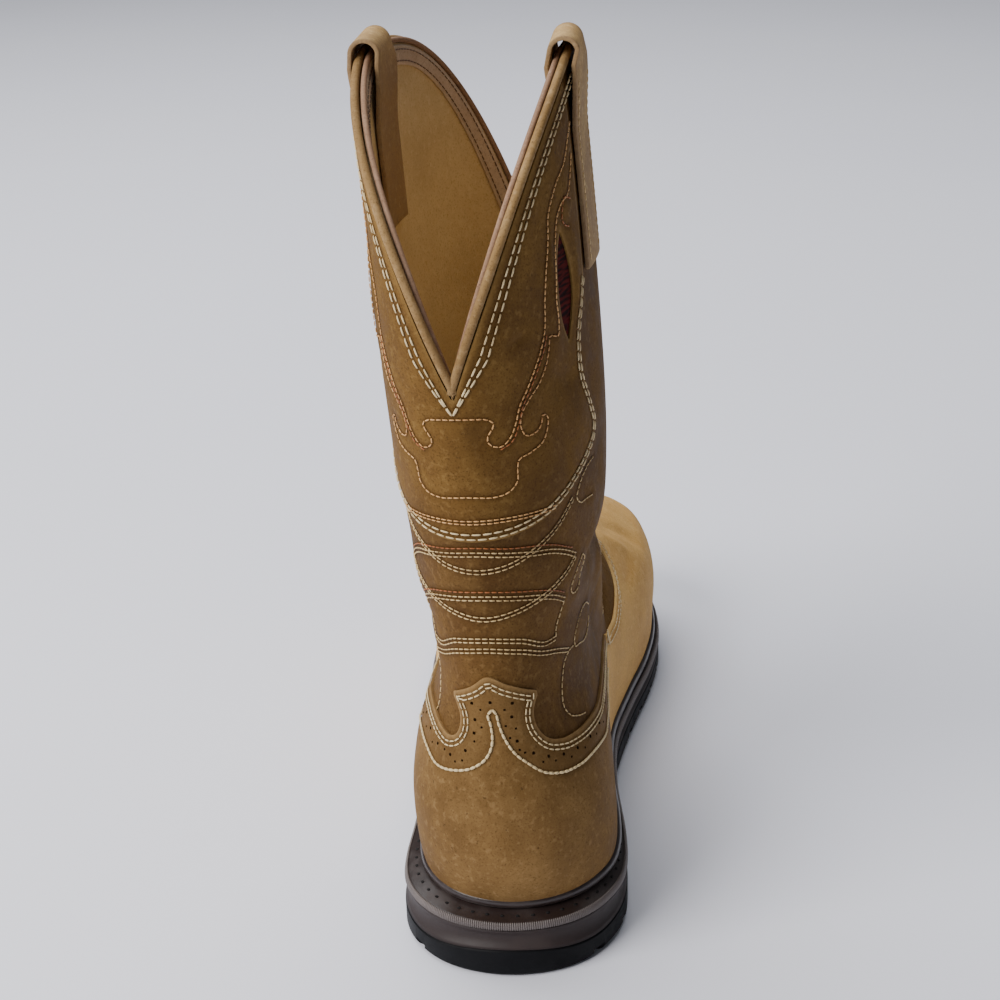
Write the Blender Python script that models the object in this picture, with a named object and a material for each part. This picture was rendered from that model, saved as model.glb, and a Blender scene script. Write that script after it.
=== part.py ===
"""Left pull-on western work boot: hollow upper, stitched overlays, welt, midsole and lugged outsole.

Metres, +Z up, +Y to the toe, +X to the medial side. The origin is on the floor under the heel.
Tables below are in millimetres.
"""
import bpy
import bmesh
import numpy as np

for old in list(bpy.data.objects):
    bpy.data.objects.remove(old, do_unlink=True)

MM = 0.001

# Driving sizes, mm
WALL = 2.6               # leather and lining of the upper together
GAP = 0.35               # air between pieces that touch
OVERLAY = 1.2            # leather of a sewn-on panel
FEATHER_HEIGHT = 25.0    # upper's lower edge above the floor at the heel
EAR_HEIGHT = 320.5       # collar at the two sides
BACK_DIP = 217.0         # bottom of the collar's V behind
FRONT_DIP = 236.0        # bottom of the collar's V in front
EAR_ROUND = 6.0          # rounding of the collar's peak
BACK_BOW = 0.15          # how far the collar's edge bows up on its way to the ear
FRONT_BOW = 0.27
HEEL_BACK = -39.0        # last bottom, along the boot
TOE_TIP = 254.0
FOOT_TOP = 82.0          # above this height the loops no longer follow the feather line
FOOT_WIDTH = 100.0       # a loop's width when the last's outline keeps its own

# Loops of the upper from the feather line to the ears, back_z being the height at the heel.
# foot is the share of the last's own outline, the rest being an oval of rear and front halves.
SECTION_COLUMNS = ("back_z", "back_y", "wide_y", "front_y", "front_z", "width",
                   "back_x", "front_x", "rear_full", "front_full", "foot")
SECTIONS = [
    (25, -39.0, 2, 254.0, 28, 100.0, 0.5, 0.0, 1.00, 0.92, 1.00),
    (34, -43.5, 2, 259.0, 39, 101.5, 0.0, 0.0, 1.00, 0.92, 1.00),
    (46, -46.5, 4, 259.0, 52, 101.5, -0.8, 0.5, 1.00, 0.92, 1.00),
    (58, -47.0, 8, 251.0, 64, 96.5, -1.5, 1.0, 0.98, 0.94, 0.90),
    (70, -45.5, 14, 235.0, 73, 83.0, -2.2, 2.0, 0.96, 0.96, 0.62),
    (82, -42.0, 20, 209.0, 80, 69.5, -2.9, 3.0, 0.95, 1.00, 0.30),
    (94, -38.5, 25, 177.0, 88, 60.5, -3.5, 3.5, 0.95, 1.00, 0.10),
    (106, -36.5, 28, 146.0, 101, 57.0, -4.1, 4.0, 0.95, 1.00, 0.0),
    (118, -36.0, 28, 119.0, 118, 58.0, -4.5, 4.5, 0.95, 1.00, 0.0),
    (132, -36.5, 27, 99.0, 138, 62.0, -5.0, 4.8, 0.96, 1.00, 0.0),
    (150, -38.5, 25, 88.0, 158, 67.0, -6.1, 5.0, 0.98, 1.00, 0.0),
    (172, -41.5, 23, 85.0, 177, 70.0, -7.8, 5.0, 1.00, 1.00, 0.0),
    (195, -44.5, 22, 86.0, 196, 70.5, -9.2, 5.0, 1.00, 1.00, 0.0),
    (220, -47.0, 22, 89.0, 220, 70.5, -11.2, 4.2, 1.00, 1.00, 0.0),
    (270, -52.0, 22, 95.0, 270, 69.5, -13.5, 0.5, 1.00, 1.00, 0.0),
    (330, -57.0, 22, 100.0, 330, 68.0, -18.0, -4.0, 1.00, 1.00, 0.0),
]

# Bottom of the last, from the heel back at angle 0 to the toe tip at 180.
OUTLINE_COLUMNS = ("angle", "along", "medial", "lateral")
OUTLINE = [
    (0, HEEL_BACK, 0.0, 0.0),
    (25, -34.5, 17.0, 17.0),
    (50, -22.5, 29.5, 28.5),
    (75, -4.0, 36.0, 34.0),
    (95, 22.0, 35.5, 35.0),
    (108, 55.0, 32.0, 36.0),
    (120, 92.0, 31.5, 39.0),
    (132, 132.0, 37.5, 43.5),
    (143, 168.0, 44.5, 47.0),
    (152, 196.0, 47.0, 46.0),
    (160, 220.0, 44.5, 41.0),
    (168, 240.5, 36.5, 32.5),
    (174, 251.0, 23.0, 19.5),
    (180, TOE_TIP, 1.5, -1.5),
]

# Heights along the sole: floor side, top of the outsole, top of the midsole, feather line.
SOLE_COLUMNS = ("along", "floor", "outsole", "midsole", "feather")
SOLE = [
    (-55, 0.0, 10.0, 18.5, 25.0),
    (-20, 0.0, 10.0, 18.5, 25.0),
    (30, 0.0, 10.0, 18.0, 24.0),
    (90, 0.0, 9.0, 15.0, 20.0),
    (150, 0.0, 7.5, 12.5, 17.0),
    (195, 0.0, 7.5, 12.5, 17.5),
    (232, 4.0, 11.5, 16.5, 22.0),
    (266, 12.0, 18.0, 22.5, 28.5),
]

REAR_STEPS = 7           # columns of facets from the heel back to the ear line
FRONT_STEPS = 14         # columns from the ear line to the toe
FOOT_ROWS = (25, 31, 39, 48, 57, 65, 73, 81, 89, 98, 108, 119, 132, 148)
SHAFT_ROWS = 9           # rows from the last of those to the collar


def curve(x, xs, ys):
    """Smooth curve through the points of a table."""
    xs = np.asarray(xs, float)
    ys = np.asarray(ys, float)
    x = np.clip(np.asarray(x, float), xs[0], xs[-1])
    step = np.diff(xs)
    slope = np.diff(ys) / step
    tangent = np.empty_like(ys)
    tangent[1:-1] = (step[1:] * slope[:-1] + step[:-1] * slope[1:]) / (step[1:] + step[:-1])
    tangent[0] = slope[0]
    tangent[-1] = slope[-1]
    i = np.clip(np.searchsorted(xs, x, side="right") - 1, 0, len(step) - 1)
    t = (x - xs[i]) / step[i]
    start = (2 * t**3 - 3 * t**2 + 1) * ys[i] + (t**3 - 2 * t**2 + t) * step[i] * tangent[i]
    return start + (3 * t**2 - 2 * t**3) * ys[i + 1] + (t**3 - t**2) * step[i] * tangent[i + 1]


def table(rows, names, name):
    return [row[names.index(name)] for row in rows]


def sole_height(name, along):
    """Height of one line of the sole; the floor line never dips below the floor."""
    height = curve(along, table(SOLE, SOLE_COLUMNS, "along"), table(SOLE, SOLE_COLUMNS, name))
    return np.maximum(height, 0)


def last_outline(angle):
    """Bottom of the last at a signed angle: 0 at the heel back, medial positive, 180 at the toe."""
    angle = np.asarray(angle, float)
    turn = np.abs(angle)
    angles = table(OUTLINE, OUTLINE_COLUMNS, "angle")
    along = curve(turn, angles, table(OUTLINE, OUTLINE_COLUMNS, "along"))
    medial = curve(turn, angles, table(OUTLINE, OUTLINE_COLUMNS, "medial"))
    lateral = curve(turn, angles, table(OUTLINE, OUTLINE_COLUMNS, "lateral"))
    return np.where(angle >= 0, medial, -lateral), along


def upper_face(angle, height):
    """Outer face of the upper at a signed angle and a height measured at the back."""
    angle, height = np.broadcast_arrays(np.asarray(angle, float), np.asarray(height, float))
    angle = (angle + 180) % 360 - 180
    heights = table(SECTIONS, SECTION_COLUMNS, "back_z")
    s = {name: curve(height, heights, table(SECTIONS, SECTION_COLUMNS, name)) for name in SECTION_COLUMNS}
    turn = np.radians(np.abs(angle))
    cos, sin = np.cos(turn), np.abs(np.sin(turn))
    side = np.where(angle >= 0, 1.0, -1.0)
    rear = cos >= 0
    fullness = np.where(rear, s["rear_full"], s["front_full"])
    reach = np.where(rear, s["wide_y"] - s["back_y"], s["front_y"] - s["wide_y"])
    oval_y = s["wide_y"] - np.sign(cos) * reach * np.abs(cos) ** fullness
    oval_x = side * s["width"] / 2 * sin ** fullness
    foot_x, foot_y = last_outline(angle)
    along = (foot_y - HEEL_BACK) / (TOE_TIP - HEEL_BACK)
    foot_y = s["back_y"] + along * (s["front_y"] - s["back_y"])
    foot_x = foot_x * s["width"] / FOOT_WIDTH
    y = oval_y + (foot_y - oval_y) * s["foot"]
    x = oval_x + (foot_x - oval_x) * s["foot"]
    t = (y - s["back_y"]) / (s["front_y"] - s["back_y"])
    x = x + s["back_x"] + (s["front_x"] - s["back_x"]) * t
    z = height + (s["front_z"] - height) * t
    sag = np.clip((FOOT_TOP - height) / (FOOT_TOP - FEATHER_HEIGHT), 0, 1)
    toe_rise = SECTIONS[0][SECTION_COLUMNS.index("front_z")] - FEATHER_HEIGHT
    z = z + sag * (sole_height("feather", y) - FEATHER_HEIGHT - toe_rise * t)
    return np.stack([x, y, z], -1)


def upper_normal(angle, height):
    """Outward unit normal of the upper's outer face."""
    turn = 0.5
    rise = 0.5
    around = upper_face(angle + turn, height) - upper_face(angle - turn, height)
    low = np.maximum(height - rise, FEATHER_HEIGHT)
    up = upper_face(angle, low + 2 * rise) - upper_face(angle, low)
    normal = np.cross(around, up)
    return normal / np.linalg.norm(normal, axis=-1, keepdims=True)


def collar_height(angle):
    """Height of the collar's edge: ears at the sides, a V behind and a V in front."""
    turn = np.abs(np.asarray(angle, float))
    rear = turn <= 90
    t = np.where(rear, turn, 180 - turn) / 90
    dip = np.where(rear, BACK_DIP, FRONT_DIP)
    bow = np.where(rear, BACK_BOW, FRONT_BOW)
    drop = (1 - t - bow * np.sin(np.pi * t)) * (EAR_HEIGHT - dip)
    return EAR_HEIGHT - np.sqrt(drop * drop + EAR_ROUND**2) + EAR_ROUND


HALF_ANGLES = np.concatenate([np.linspace(0, 90, REAR_STEPS + 1), np.linspace(90, 180, FRONT_STEPS + 1)[1:]])
ANGLES = np.concatenate([-HALF_ANGLES[:0:-1], HALF_ANGLES])
COLUMNS = len(ANGLES) - 1
ROWS = len(FOOT_ROWS) + SHAFT_ROWS


def row_height(angle, row):
    """Height of facet row number row at an angle: level rows on the foot, then even steps to the collar."""
    last = len(FOOT_ROWS) - 1
    foot = np.interp(np.minimum(row, last), range(len(FOOT_ROWS)), FOOT_ROWS)
    share = np.maximum(row - last, 0) / SHAFT_ROWS
    return foot + (collar_height(angle) - FOOT_ROWS[-1]) * share


def row_number(angle, height):
    last = len(FOOT_ROWS) - 1
    foot = np.interp(np.minimum(height, FOOT_ROWS[-1]), FOOT_ROWS, range(len(FOOT_ROWS)))
    over = np.maximum(height - FOOT_ROWS[-1], 0)
    return foot + over / (collar_height(angle) - FOOT_ROWS[-1]) * SHAFT_ROWS


GRID_ANGLE, GRID_ROW = np.meshgrid(ANGLES, np.arange(ROWS), indexing="ij")
GRID_HEIGHT = row_height(GRID_ANGLE, GRID_ROW)
GRID_FACE = upper_face(GRID_ANGLE, GRID_HEIGHT)
GRID_NORMAL = upper_normal(GRID_ANGLE, GRID_HEIGHT)


def facet_point(column, row, lift):
    """Point over the upper's facets at a column and row number, lifted off them. Columns go round."""
    i = int(column)
    j = min(max(int(row), 0), ROWS - 2)
    u, v = column - i, row - j
    face = GRID_FACE + lift * GRID_NORMAL
    near, far = face[i % COLUMNS], face[(i + 1) % COLUMNS]
    low = near[j] * (1 - u) + far[j] * u
    high = near[j + 1] * (1 - u) + far[j + 1] * u
    return low * (1 - v) + high * v


def material(name, color, roughness):
    made = bpy.data.materials.new(name)
    made.use_nodes = True
    shader = made.node_tree.nodes["Principled BSDF"]
    shader.inputs["Base Color"].default_value = (*color, 1.0)
    shader.inputs["Roughness"].default_value = roughness
    shader.inputs["Metallic"].default_value = 0.0
    return made


def finish(name, mesh_data, surface):
    """Turn a bmesh in millimetres into a named object in metres."""
    bmesh.ops.recalc_face_normals(mesh_data, faces=mesh_data.faces)
    if mesh_data.calc_volume(signed=True) < 0:
        bmesh.ops.reverse_faces(mesh_data, faces=mesh_data.faces)
    bmesh.ops.triangulate(mesh_data, faces=mesh_data.faces)
    bmesh.ops.scale(mesh_data, vec=(MM, MM, MM), verts=mesh_data.verts)
    mesh = bpy.data.meshes.new(name)
    mesh_data.to_mesh(mesh)
    mesh_data.free()
    mesh.materials.append(surface)
    mesh.shade_smooth()
    mesh.set_sharp_from_angle(angle=0.6)
    made = bpy.data.objects.new(name, mesh)
    bpy.context.collection.objects.link(made)
    return made


def ring(mesh_data, points):
    """Closed loop of edges through points."""
    verts = [mesh_data.verts.new(p) for p in points]
    return [mesh_data.edges.new((a, b)) for a, b in zip(verts, verts[1:] + verts[:1])]


def bridge(mesh_data, rings):
    for low, high in zip(rings, rings[1:]):
        bmesh.ops.bridge_loops(mesh_data, edges=low + high)


def cap(mesh_data, edges, count):
    """Close a ring of the sole by a ladder of faces from its medial to its lateral side."""
    start = edges[0].verts[0]
    verts = [start]
    for edge in edges[:-1]:
        verts.append(edge.other_vert(verts[-1]))
    middle = count // 2
    for k in range(1, middle):
        left, right = middle + k, middle - k
        inner_left, inner_right = left - 1, right + 1
        corners = [verts[inner_right], verts[right], verts[left % count], verts[inner_left]]
        if inner_left == inner_right:
            corners = corners[:3]
        mesh_data.faces.new(corners)
    mesh_data.faces.new([verts[0], verts[1], verts[count - 1]])


def shell(name, surface):
    """Hollow upper: the outer face and the wall's inner face, open at the collar and underneath."""
    mesh_data = bmesh.new()
    inner = GRID_FACE - WALL * GRID_NORMAL
    rings = [ring(mesh_data, GRID_FACE[1:, j]) for j in range(ROWS)]
    rings += [ring(mesh_data, inner[1:, j]) for j in reversed(range(ROWS))]
    bridge(mesh_data, rings)
    bridge(mesh_data, [rings[-1], rings[0]])
    return finish(name, mesh_data, surface)


def flat_slab(name, points, low, high):
    """Prism over an outline in the plane of column and row numbers."""
    mesh_data = bmesh.new()
    verts = [mesh_data.verts.new((x, y, low)) for x, y in points]
    face = mesh_data.faces.new(verts)
    grown = bmesh.ops.extrude_face_region(mesh_data, geom=[face])
    lifted = [g for g in grown["geom"] if isinstance(g, bmesh.types.BMVert)]
    bmesh.ops.translate(mesh_data, vec=(0, 0, high - low), verts=lifted)
    bmesh.ops.recalc_face_normals(mesh_data, faces=mesh_data.faces)
    mesh = bpy.data.meshes.new(name)
    mesh_data.to_mesh(mesh)
    mesh_data.free()
    made = bpy.data.objects.new(name, mesh)
    bpy.context.collection.objects.link(made)
    made.hide_render = True
    made.display_type = "WIRE"
    return made


def cut(target, cutter, operation):
    step = target.modifiers.new(cutter.name, "BOOLEAN")
    step.operation = operation
    step.solver = "EXACT"
    step.object = cutter


def chart_point(angle, height):
    """Column and row numbers of an angle and height on the upper."""
    turns = int(angle > 180)
    angle = angle - 360 * turns
    column = float(np.interp(angle, ANGLES, range(COLUMNS + 1))) + turns * COLUMNS
    return column, float(row_number(angle, height))


def overlay(name, outline, surface, holes=(), lift=GAP, thick=OVERLAY):
    """Panel on the upper: its outline and holes, as angles and heights, cut from the upper's own facets."""
    mesh_data = bmesh.new()
    columns, rows = 2 * COLUMNS, ROWS - 1
    bmesh.ops.create_grid(mesh_data, x_segments=columns, y_segments=rows, size=0.5)
    bmesh.ops.translate(mesh_data, vec=(0.5, 0.5, 0), verts=mesh_data.verts)
    bmesh.ops.scale(mesh_data, vec=(columns, rows, 1), verts=mesh_data.verts)
    grown = bmesh.ops.extrude_face_region(mesh_data, geom=mesh_data.faces[:])
    lifted = [g for g in grown["geom"] if isinstance(g, bmesh.types.BMVert)]
    bmesh.ops.translate(mesh_data, vec=(0, 0, 1), verts=lifted)
    bmesh.ops.recalc_face_normals(mesh_data, faces=mesh_data.faces)
    mesh = bpy.data.meshes.new(name)
    mesh_data.to_mesh(mesh)
    mesh_data.free()
    sheet = bpy.data.objects.new(name, mesh)
    bpy.context.collection.objects.link(sheet)
    cutters = [flat_slab(name + "_edge", [chart_point(*p) for p in outline], -1, 2)]
    cut(sheet, cutters[0], "INTERSECT")
    for number, hole in enumerate(holes):
        cutters.append(flat_slab(f"{name}_hole_{number}", [chart_point(*p) for p in hole], -1, 2))
        cut(sheet, cutters[-1], "DIFFERENCE")
    view = bpy.context.evaluated_depsgraph_get()
    flat = bpy.data.meshes.new_from_object(sheet.evaluated_get(view))
    for item in [sheet] + cutters:
        bpy.data.objects.remove(item, do_unlink=True)
    mesh_data = bmesh.new()
    mesh_data.from_mesh(flat)
    bmesh.ops.triangulate(mesh_data, faces=mesh_data.faces)
    for vert in mesh_data.verts:
        column, row, level = vert.co
        vert.co = facet_point(column, row, lift + thick * level)
    return finish(name, mesh_data, surface)


def sole_ring(offset, heights):
    """Ring round the last's outline, pushed out by offset, at the given heights."""
    x, y = last_outline(ANGLES[1:])
    points = np.stack([x, y], -1)
    along = np.roll(points, -1, axis=0) - np.roll(points, 1, axis=0)
    out = np.stack([along[:, 1], -along[:, 0]], -1)
    out /= np.linalg.norm(out, axis=1, keepdims=True)
    pushed = points + out * np.reshape(offset, (-1, 1))
    return np.column_stack([pushed, heights(pushed[:, 1])])


def heel_flare(amount):
    """An amount that grows towards the back of the heel."""
    return amount * np.clip(np.cos(np.radians(ANGLES[1:])), 0, 1) ** 2


def layered(name, rings_of_points, surface):
    """Closed solid through rings of points, capped across its lowest and highest ring."""
    mesh_data = bmesh.new()
    rings = [ring(mesh_data, points) for points in rings_of_points]
    bridge(mesh_data, rings)
    cap(mesh_data, rings[0], len(rings[0]))
    cap(mesh_data, rings[-1], len(rings[-1]))
    return finish(name, mesh_data, surface)


# Outsole: black rubber with a heel, an arch cut and cross lugs.
# Outsole beyond the last at signed angles, fuller round the heel's lateral corner
SOLE_REACH = [(-180, 5.4), (-125, 5.6), (-105, 6.4), (-80, 8.0), (-55, 10.4), (-30, 11.3), (0, 11.0),
              (30, 10.5), (55, 8.4), (80, 5.9), (105, 4.8), (122, 4.2), (140, 4.6), (155, 5.0), (180, 5.4)]
TREAD_BEVEL = 1.8
LOBE_DEPTH = 1.4         # the wavy line between outsole and midsole behind the heel


def lobes():
    """Rise of the outsole's top edge round the heel: two low lobes at its corners."""
    turn = np.radians(ANGLES[1:])
    return LOBE_DEPTH * np.cos(4 * turn) * np.clip(np.cos(turn), 0, 1)


black_rubber = material("black_rubber", (0.010, 0.012, 0.015), 0.6)
reach = curve(ANGLES[1:], *zip(*SOLE_REACH))
outsole = layered("outsole", [
    sole_ring(reach - TREAD_BEVEL, lambda y: sole_height("floor", y)),
    sole_ring(reach, lambda y: sole_height("floor", y) + TREAD_BEVEL),
    sole_ring(reach, lambda y: sole_height("outsole", y) + lobes()),
], black_rubber)

# Arch hollow as along and height, then the tread grooves as middle along and turn in degrees.
BELOW = -2.0             # cutters start under the floor
ARCH = [(36, BELOW), (39, 4.5), (45, 6.0), (75, 5.5), (96, 2.0), (106, BELOW)]
GROOVE_WIDTH = 5.0
GROOVE_DEPTH = 3.2
GROOVES = [(-34, 0), (-14, 0), (8, 0), (118, 8), (138, 8), (158, 8), (178, 8), (198, 8)]
CUTTER_HALF = 90.0       # reach of a cutter to each side


def cross_cutter(name, profile, turn=0.0, middle=(0, 0)):
    """Prism across the sole over a profile of along and height."""
    mesh_data = bmesh.new()
    face = mesh_data.faces.new([mesh_data.verts.new((-CUTTER_HALF, y, z)) for y, z in profile])
    grown = bmesh.ops.extrude_face_region(mesh_data, geom=[face])
    moved = [g for g in grown["geom"] if isinstance(g, bmesh.types.BMVert)]
    bmesh.ops.translate(mesh_data, vec=(2 * CUTTER_HALF, 0, 0), verts=moved)
    bmesh.ops.recalc_face_normals(mesh_data, faces=mesh_data.faces)
    bmesh.ops.scale(mesh_data, vec=(MM, MM, MM), verts=mesh_data.verts)
    mesh = bpy.data.meshes.new(name)
    mesh_data.to_mesh(mesh)
    mesh_data.free()
    made = bpy.data.objects.new(name, mesh)
    made.location = (middle[0] * MM, middle[1] * MM, 0)
    made.rotation_euler = (0, 0, np.radians(turn))
    made.hide_render = True
    made.display_type = "WIRE"
    bpy.context.collection.objects.link(made)
    return made


cut(outsole, cross_cutter("arch_cutter", ARCH), "DIFFERENCE")
half_groove = GROOVE_WIDTH / 2
groove_profile = [(-half_groove, BELOW), (-half_groove, GROOVE_DEPTH),
                  (half_groove, GROOVE_DEPTH), (half_groove, BELOW)]
for number, (middle_y, turn) in enumerate(GROOVES):
    cut(outsole, cross_cutter(f"groove_cutter_{number}", groove_profile, turn, (0, middle_y)), "DIFFERENCE")

# Midsole: taupe unit with a hollow side, a lip on top and a plateau that the upper stands on.
LIP_INSET = 0.4          # lip inside the outsole's edge
LIP_BACK = 2.2           # and further inside it behind the heel
LIP_HEIGHT = 1.2
FOOT_INSET = 0.2         # midsole's lower edge inside the outsole's
HOLLOW = 1.1             # depth of the midsole's side
HOLLOW_SHARE = 0.55      # height of the deepest line, from the outsole to the midsole's top
midsole_rubber = material("taupe_rubber", (0.052, 0.040, 0.038), 0.55)
lip = reach - LIP_INSET - heel_flare(LIP_BACK)
plateau = np.full(COLUMNS, -GAP)


def hollow_height(y):
    return (1 - HOLLOW_SHARE) * sole_height("outsole", y) + HOLLOW_SHARE * sole_height("midsole", y)


layered("midsole", [
    sole_ring(reach - FOOT_INSET, lambda y: sole_height("outsole", y) + lobes() + GAP),
    sole_ring(lip - HOLLOW, hollow_height),
    sole_ring(lip, lambda y: sole_height("midsole", y) - LIP_HEIGHT),
    sole_ring(lip, lambda y: sole_height("midsole", y)),
    sole_ring(plateau, lambda y: sole_height("midsole", y)),
    sole_ring(plateau, lambda y: sole_height("feather", y) - GAP),
], midsole_rubber)

# Welt: a flange sewn round the upper with a rolled bead against the leather.
WELT_EDGE = 2.6          # thickness of the flange's outer edge
WELT_INSET = 0.4         # flange inside the midsole's lip
BEAD_HEIGHT = 3.0        # bead above the feather line
BEAD_WIDTH = 2.6
BEAD_FOOT = 3.3          # bead's foot out from the leather
BEAD_CROWN = 0.5         # crown above the bead's inner edge
BEAD_SLOPE = 0.7         # bead's outer edge below it
welt_rubber = material("welt_rubber", (0.040, 0.030, 0.027), 0.45)


def welt_solid():
    edge = lip - WELT_INSET
    angles = ANGLES[1:]
    low = FEATHER_HEIGHT
    top = low + BEAD_HEIGHT
    against_low = upper_face(angles, low) + GAP * upper_normal(angles, low)
    against_top = upper_face(angles, top) + GAP * upper_normal(angles, top)
    sideways = upper_normal(angles, low)
    sideways[:, 2] = 0
    sideways /= np.linalg.norm(sideways, axis=1, keepdims=True)
    crown = against_top + 0.5 * BEAD_WIDTH * sideways + [0, 0, BEAD_CROWN]
    bead_side = against_top + BEAD_WIDTH * sideways - [0, 0, BEAD_SLOPE]
    bead_foot = against_low + BEAD_FOOT * sideways - [0, 0, GAP]
    bottom_in = sole_ring(np.full(COLUMNS, GAP), lambda y: sole_height("midsole", y) + GAP)
    bottom_out = sole_ring(edge, lambda y: sole_height("midsole", y) + GAP)
    edge_top = sole_ring(edge, lambda y: sole_height("midsole", y) + GAP + WELT_EDGE)
    mesh_data = bmesh.new()
    rings = [ring(mesh_data, p) for p in (bottom_in, bottom_out, edge_top, bead_foot, bead_side,
                                          crown, against_top, against_low)]
    bridge(mesh_data, rings)
    bridge(mesh_data, [rings[-1], rings[0]])
    return finish("welt", mesh_data, welt_rubber)


welt_solid()

# Insole: a footbed inside the wall.
INSOLE_THICK = 4.0
INSOLE_INSET = WALL + 0.6
INSOLE_BEVEL = 1.0
insole_fabric = material("insole_fabric", (0.10, 0.075, 0.045), 0.9)
inset = np.full(COLUMNS, -INSOLE_INSET)
layered("insole", [
    sole_ring(inset, lambda y: sole_height("feather", y)),
    sole_ring(inset, lambda y: sole_height("feather", y) + INSOLE_THICK - INSOLE_BEVEL),
    sole_ring(inset - INSOLE_BEVEL, lambda y: sole_height("feather", y) + INSOLE_THICK),
], insole_fabric)

# Upper: one hollow wall from the feather line to the collar.
shaft_leather = material("shaft_leather", (0.115, 0.062, 0.020), 0.7)
shell("upper", shaft_leather)

# Vamp and heel counter meet at the side: height and angle up the joint, then angle and height along the tops.
SIDE_JOIN = [(30, 115), (45, 116), (58, 117.5), (69, 118)]
JOIN_GAP = 0.4           # half of the slit between counter and vamp, degrees
FOOT_LIFT = 0.7          # the foot's wide facets stand a little further off the wall
COUNTER_TOP = [(0, 116), (16, 113), (25, 109), (25.5, 100), (28, 93), (34, 88.5), (42, 87), (56, 86.5),
               (72, 86), (90, 84), (102, 80), (111, 74), (118, 69)]
VAMP_TOP = [(118, 69), (126, 67), (133, 67.5), (138, 72), (140.5, 84), (142, 100), (146, 118), (153, 134),
            (162, 144), (172, 149), (180, 150.5)]
tan_leather = material("tan_leather", (0.36, 0.20, 0.075), 0.65)


def counter_outline():
    """Up the medial joint, over the scalloped top and down the lateral joint."""
    joint = [(angle - JOIN_GAP, height) for height, angle in SIDE_JOIN]
    top = [row for row in COUNTER_TOP if row[0] < joint[-1][0]]
    medial = joint + top[::-1]
    return medial + [(-angle, height) for angle, height in medial[-2::-1]]


overlay("heel_counter", counter_outline(), tan_leather, lift=FOOT_LIFT)


def vamp_outline():
    """From the medial joint round the toe to the lateral joint, angles past 180 being lateral."""
    joint = [(angle + JOIN_GAP, height) for height, angle in SIDE_JOIN]
    medial = joint + [row for row in VAMP_TOP if row[0] > joint[-1][0]]
    return medial + [(360 - angle, height) for angle, height in medial[-2::-1]]


overlay("vamp", vamp_outline(), tan_leather, lift=FOOT_LIFT)

# Back yoke: the shield-shaped upper panel behind, with an almond window at each side.
YOKE_SIDE = [(76, 248), (70, 235), (68.5, 226), (69, 217), (73, 205), (75.5, 197), (74, 191), (67, 185),
             (58, 180), (44, 174.5), (26, 171.5), (0, 170.5)]
YOKE_TOP_GAP = 1.0       # below the collar's binding
YOKE_TOP_POINTS = 33
WINDOW_ANGLE = 61.0
WINDOW_MIDDLE = 250.0
WINDOW_HALF_HEIGHT = 19.0
WINDOW_HALF_ANGLE = 5.0
WINDOW_STEPS = 8
INLAY_SHRINK = 0.7       # inlay inside its window, degrees
INLAY_TIP = 1.75         # and at each tip, mm
INLAY_THICK = 0.7
yoke_leather = material("yoke_leather", (0.135, 0.073, 0.024), 0.7)
inlay_cloth = material("maroon_cloth", (0.045, 0.008, 0.010), 0.85)


def almond(side, shrink=0.0, tip=0.0):
    """Outline of a window: two arcs that meet at its ends."""
    share = np.linspace(-1, 1, WINDOW_STEPS + 1)
    half = (WINDOW_HALF_ANGLE - shrink) * (1 - share**2)
    heights = WINDOW_MIDDLE + (WINDOW_HALF_HEIGHT - tip) * share
    front = [(side * WINDOW_ANGLE + h, z) for h, z in zip(half, heights)]
    back = [(side * WINDOW_ANGLE - h, z) for h, z in zip(half, heights)]
    return front + back[-2:0:-1]


def yoke_outline():
    """Along the collar from the lateral side, then down and round the shield."""
    top_angle = YOKE_SIDE[0][0]
    across = np.linspace(-top_angle, top_angle, YOKE_TOP_POINTS)
    collar_edge = [(a, float(collar_height(a)) - YOKE_TOP_GAP) for a in across]
    lateral = [(-a, z) for a, z in YOKE_SIDE[-2::-1]]
    return collar_edge + YOKE_SIDE + lateral


overlay("back_yoke", yoke_outline(), yoke_leather, holes=[almond(1), almond(-1)])
overlay("window_inlay_medial", almond(1, INLAY_SHRINK, INLAY_TIP), inlay_cloth, thick=INLAY_THICK)
overlay("window_inlay_lateral", almond(-1, INLAY_SHRINK, INLAY_TIP), inlay_cloth, thick=INLAY_THICK)

# Collar binding: a rolled leather bead round the edge of the collar.
BINDING_HALF_WIDTH = 2.5
BINDING_HALF_HEIGHT = 1.8
BINDING_SIDES = 8
BINDING_SEAT = 0.7       # above the wall's edge, so that the bead clears it in the corner of the V
binding_leather = material("binding_leather", (0.24, 0.15, 0.10), 0.6)


def rim_frame():
    """Middle of the wall at the collar, with its sideways and upward directions."""
    middle = GRID_FACE[1:, -1] - 0.5 * WALL * GRID_NORMAL[1:, -1]
    out = GRID_NORMAL[1:, -1]
    along = np.roll(middle, -1, axis=0) - np.roll(middle, 1, axis=0)
    up = np.cross(out, along)
    up /= np.linalg.norm(up, axis=1, keepdims=True)
    return middle, out, up * np.where(up[:, 2:] < 0, -1, 1)


def binding_solid():
    middle, out, up = rim_frame()
    mesh_data = bmesh.new()
    rings = []
    for turn in np.linspace(0, 2 * np.pi, BINDING_SIDES, endpoint=False):
        sideways = BINDING_HALF_WIDTH * np.cos(turn)
        rise = BINDING_SEAT + BINDING_HALF_HEIGHT * (1 + np.sin(turn))
        rings.append(ring(mesh_data, middle + sideways * out + rise * up))
    bridge(mesh_data, rings + [rings[0]])
    return finish("collar_binding", mesh_data, binding_leather)


binding_solid()

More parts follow.
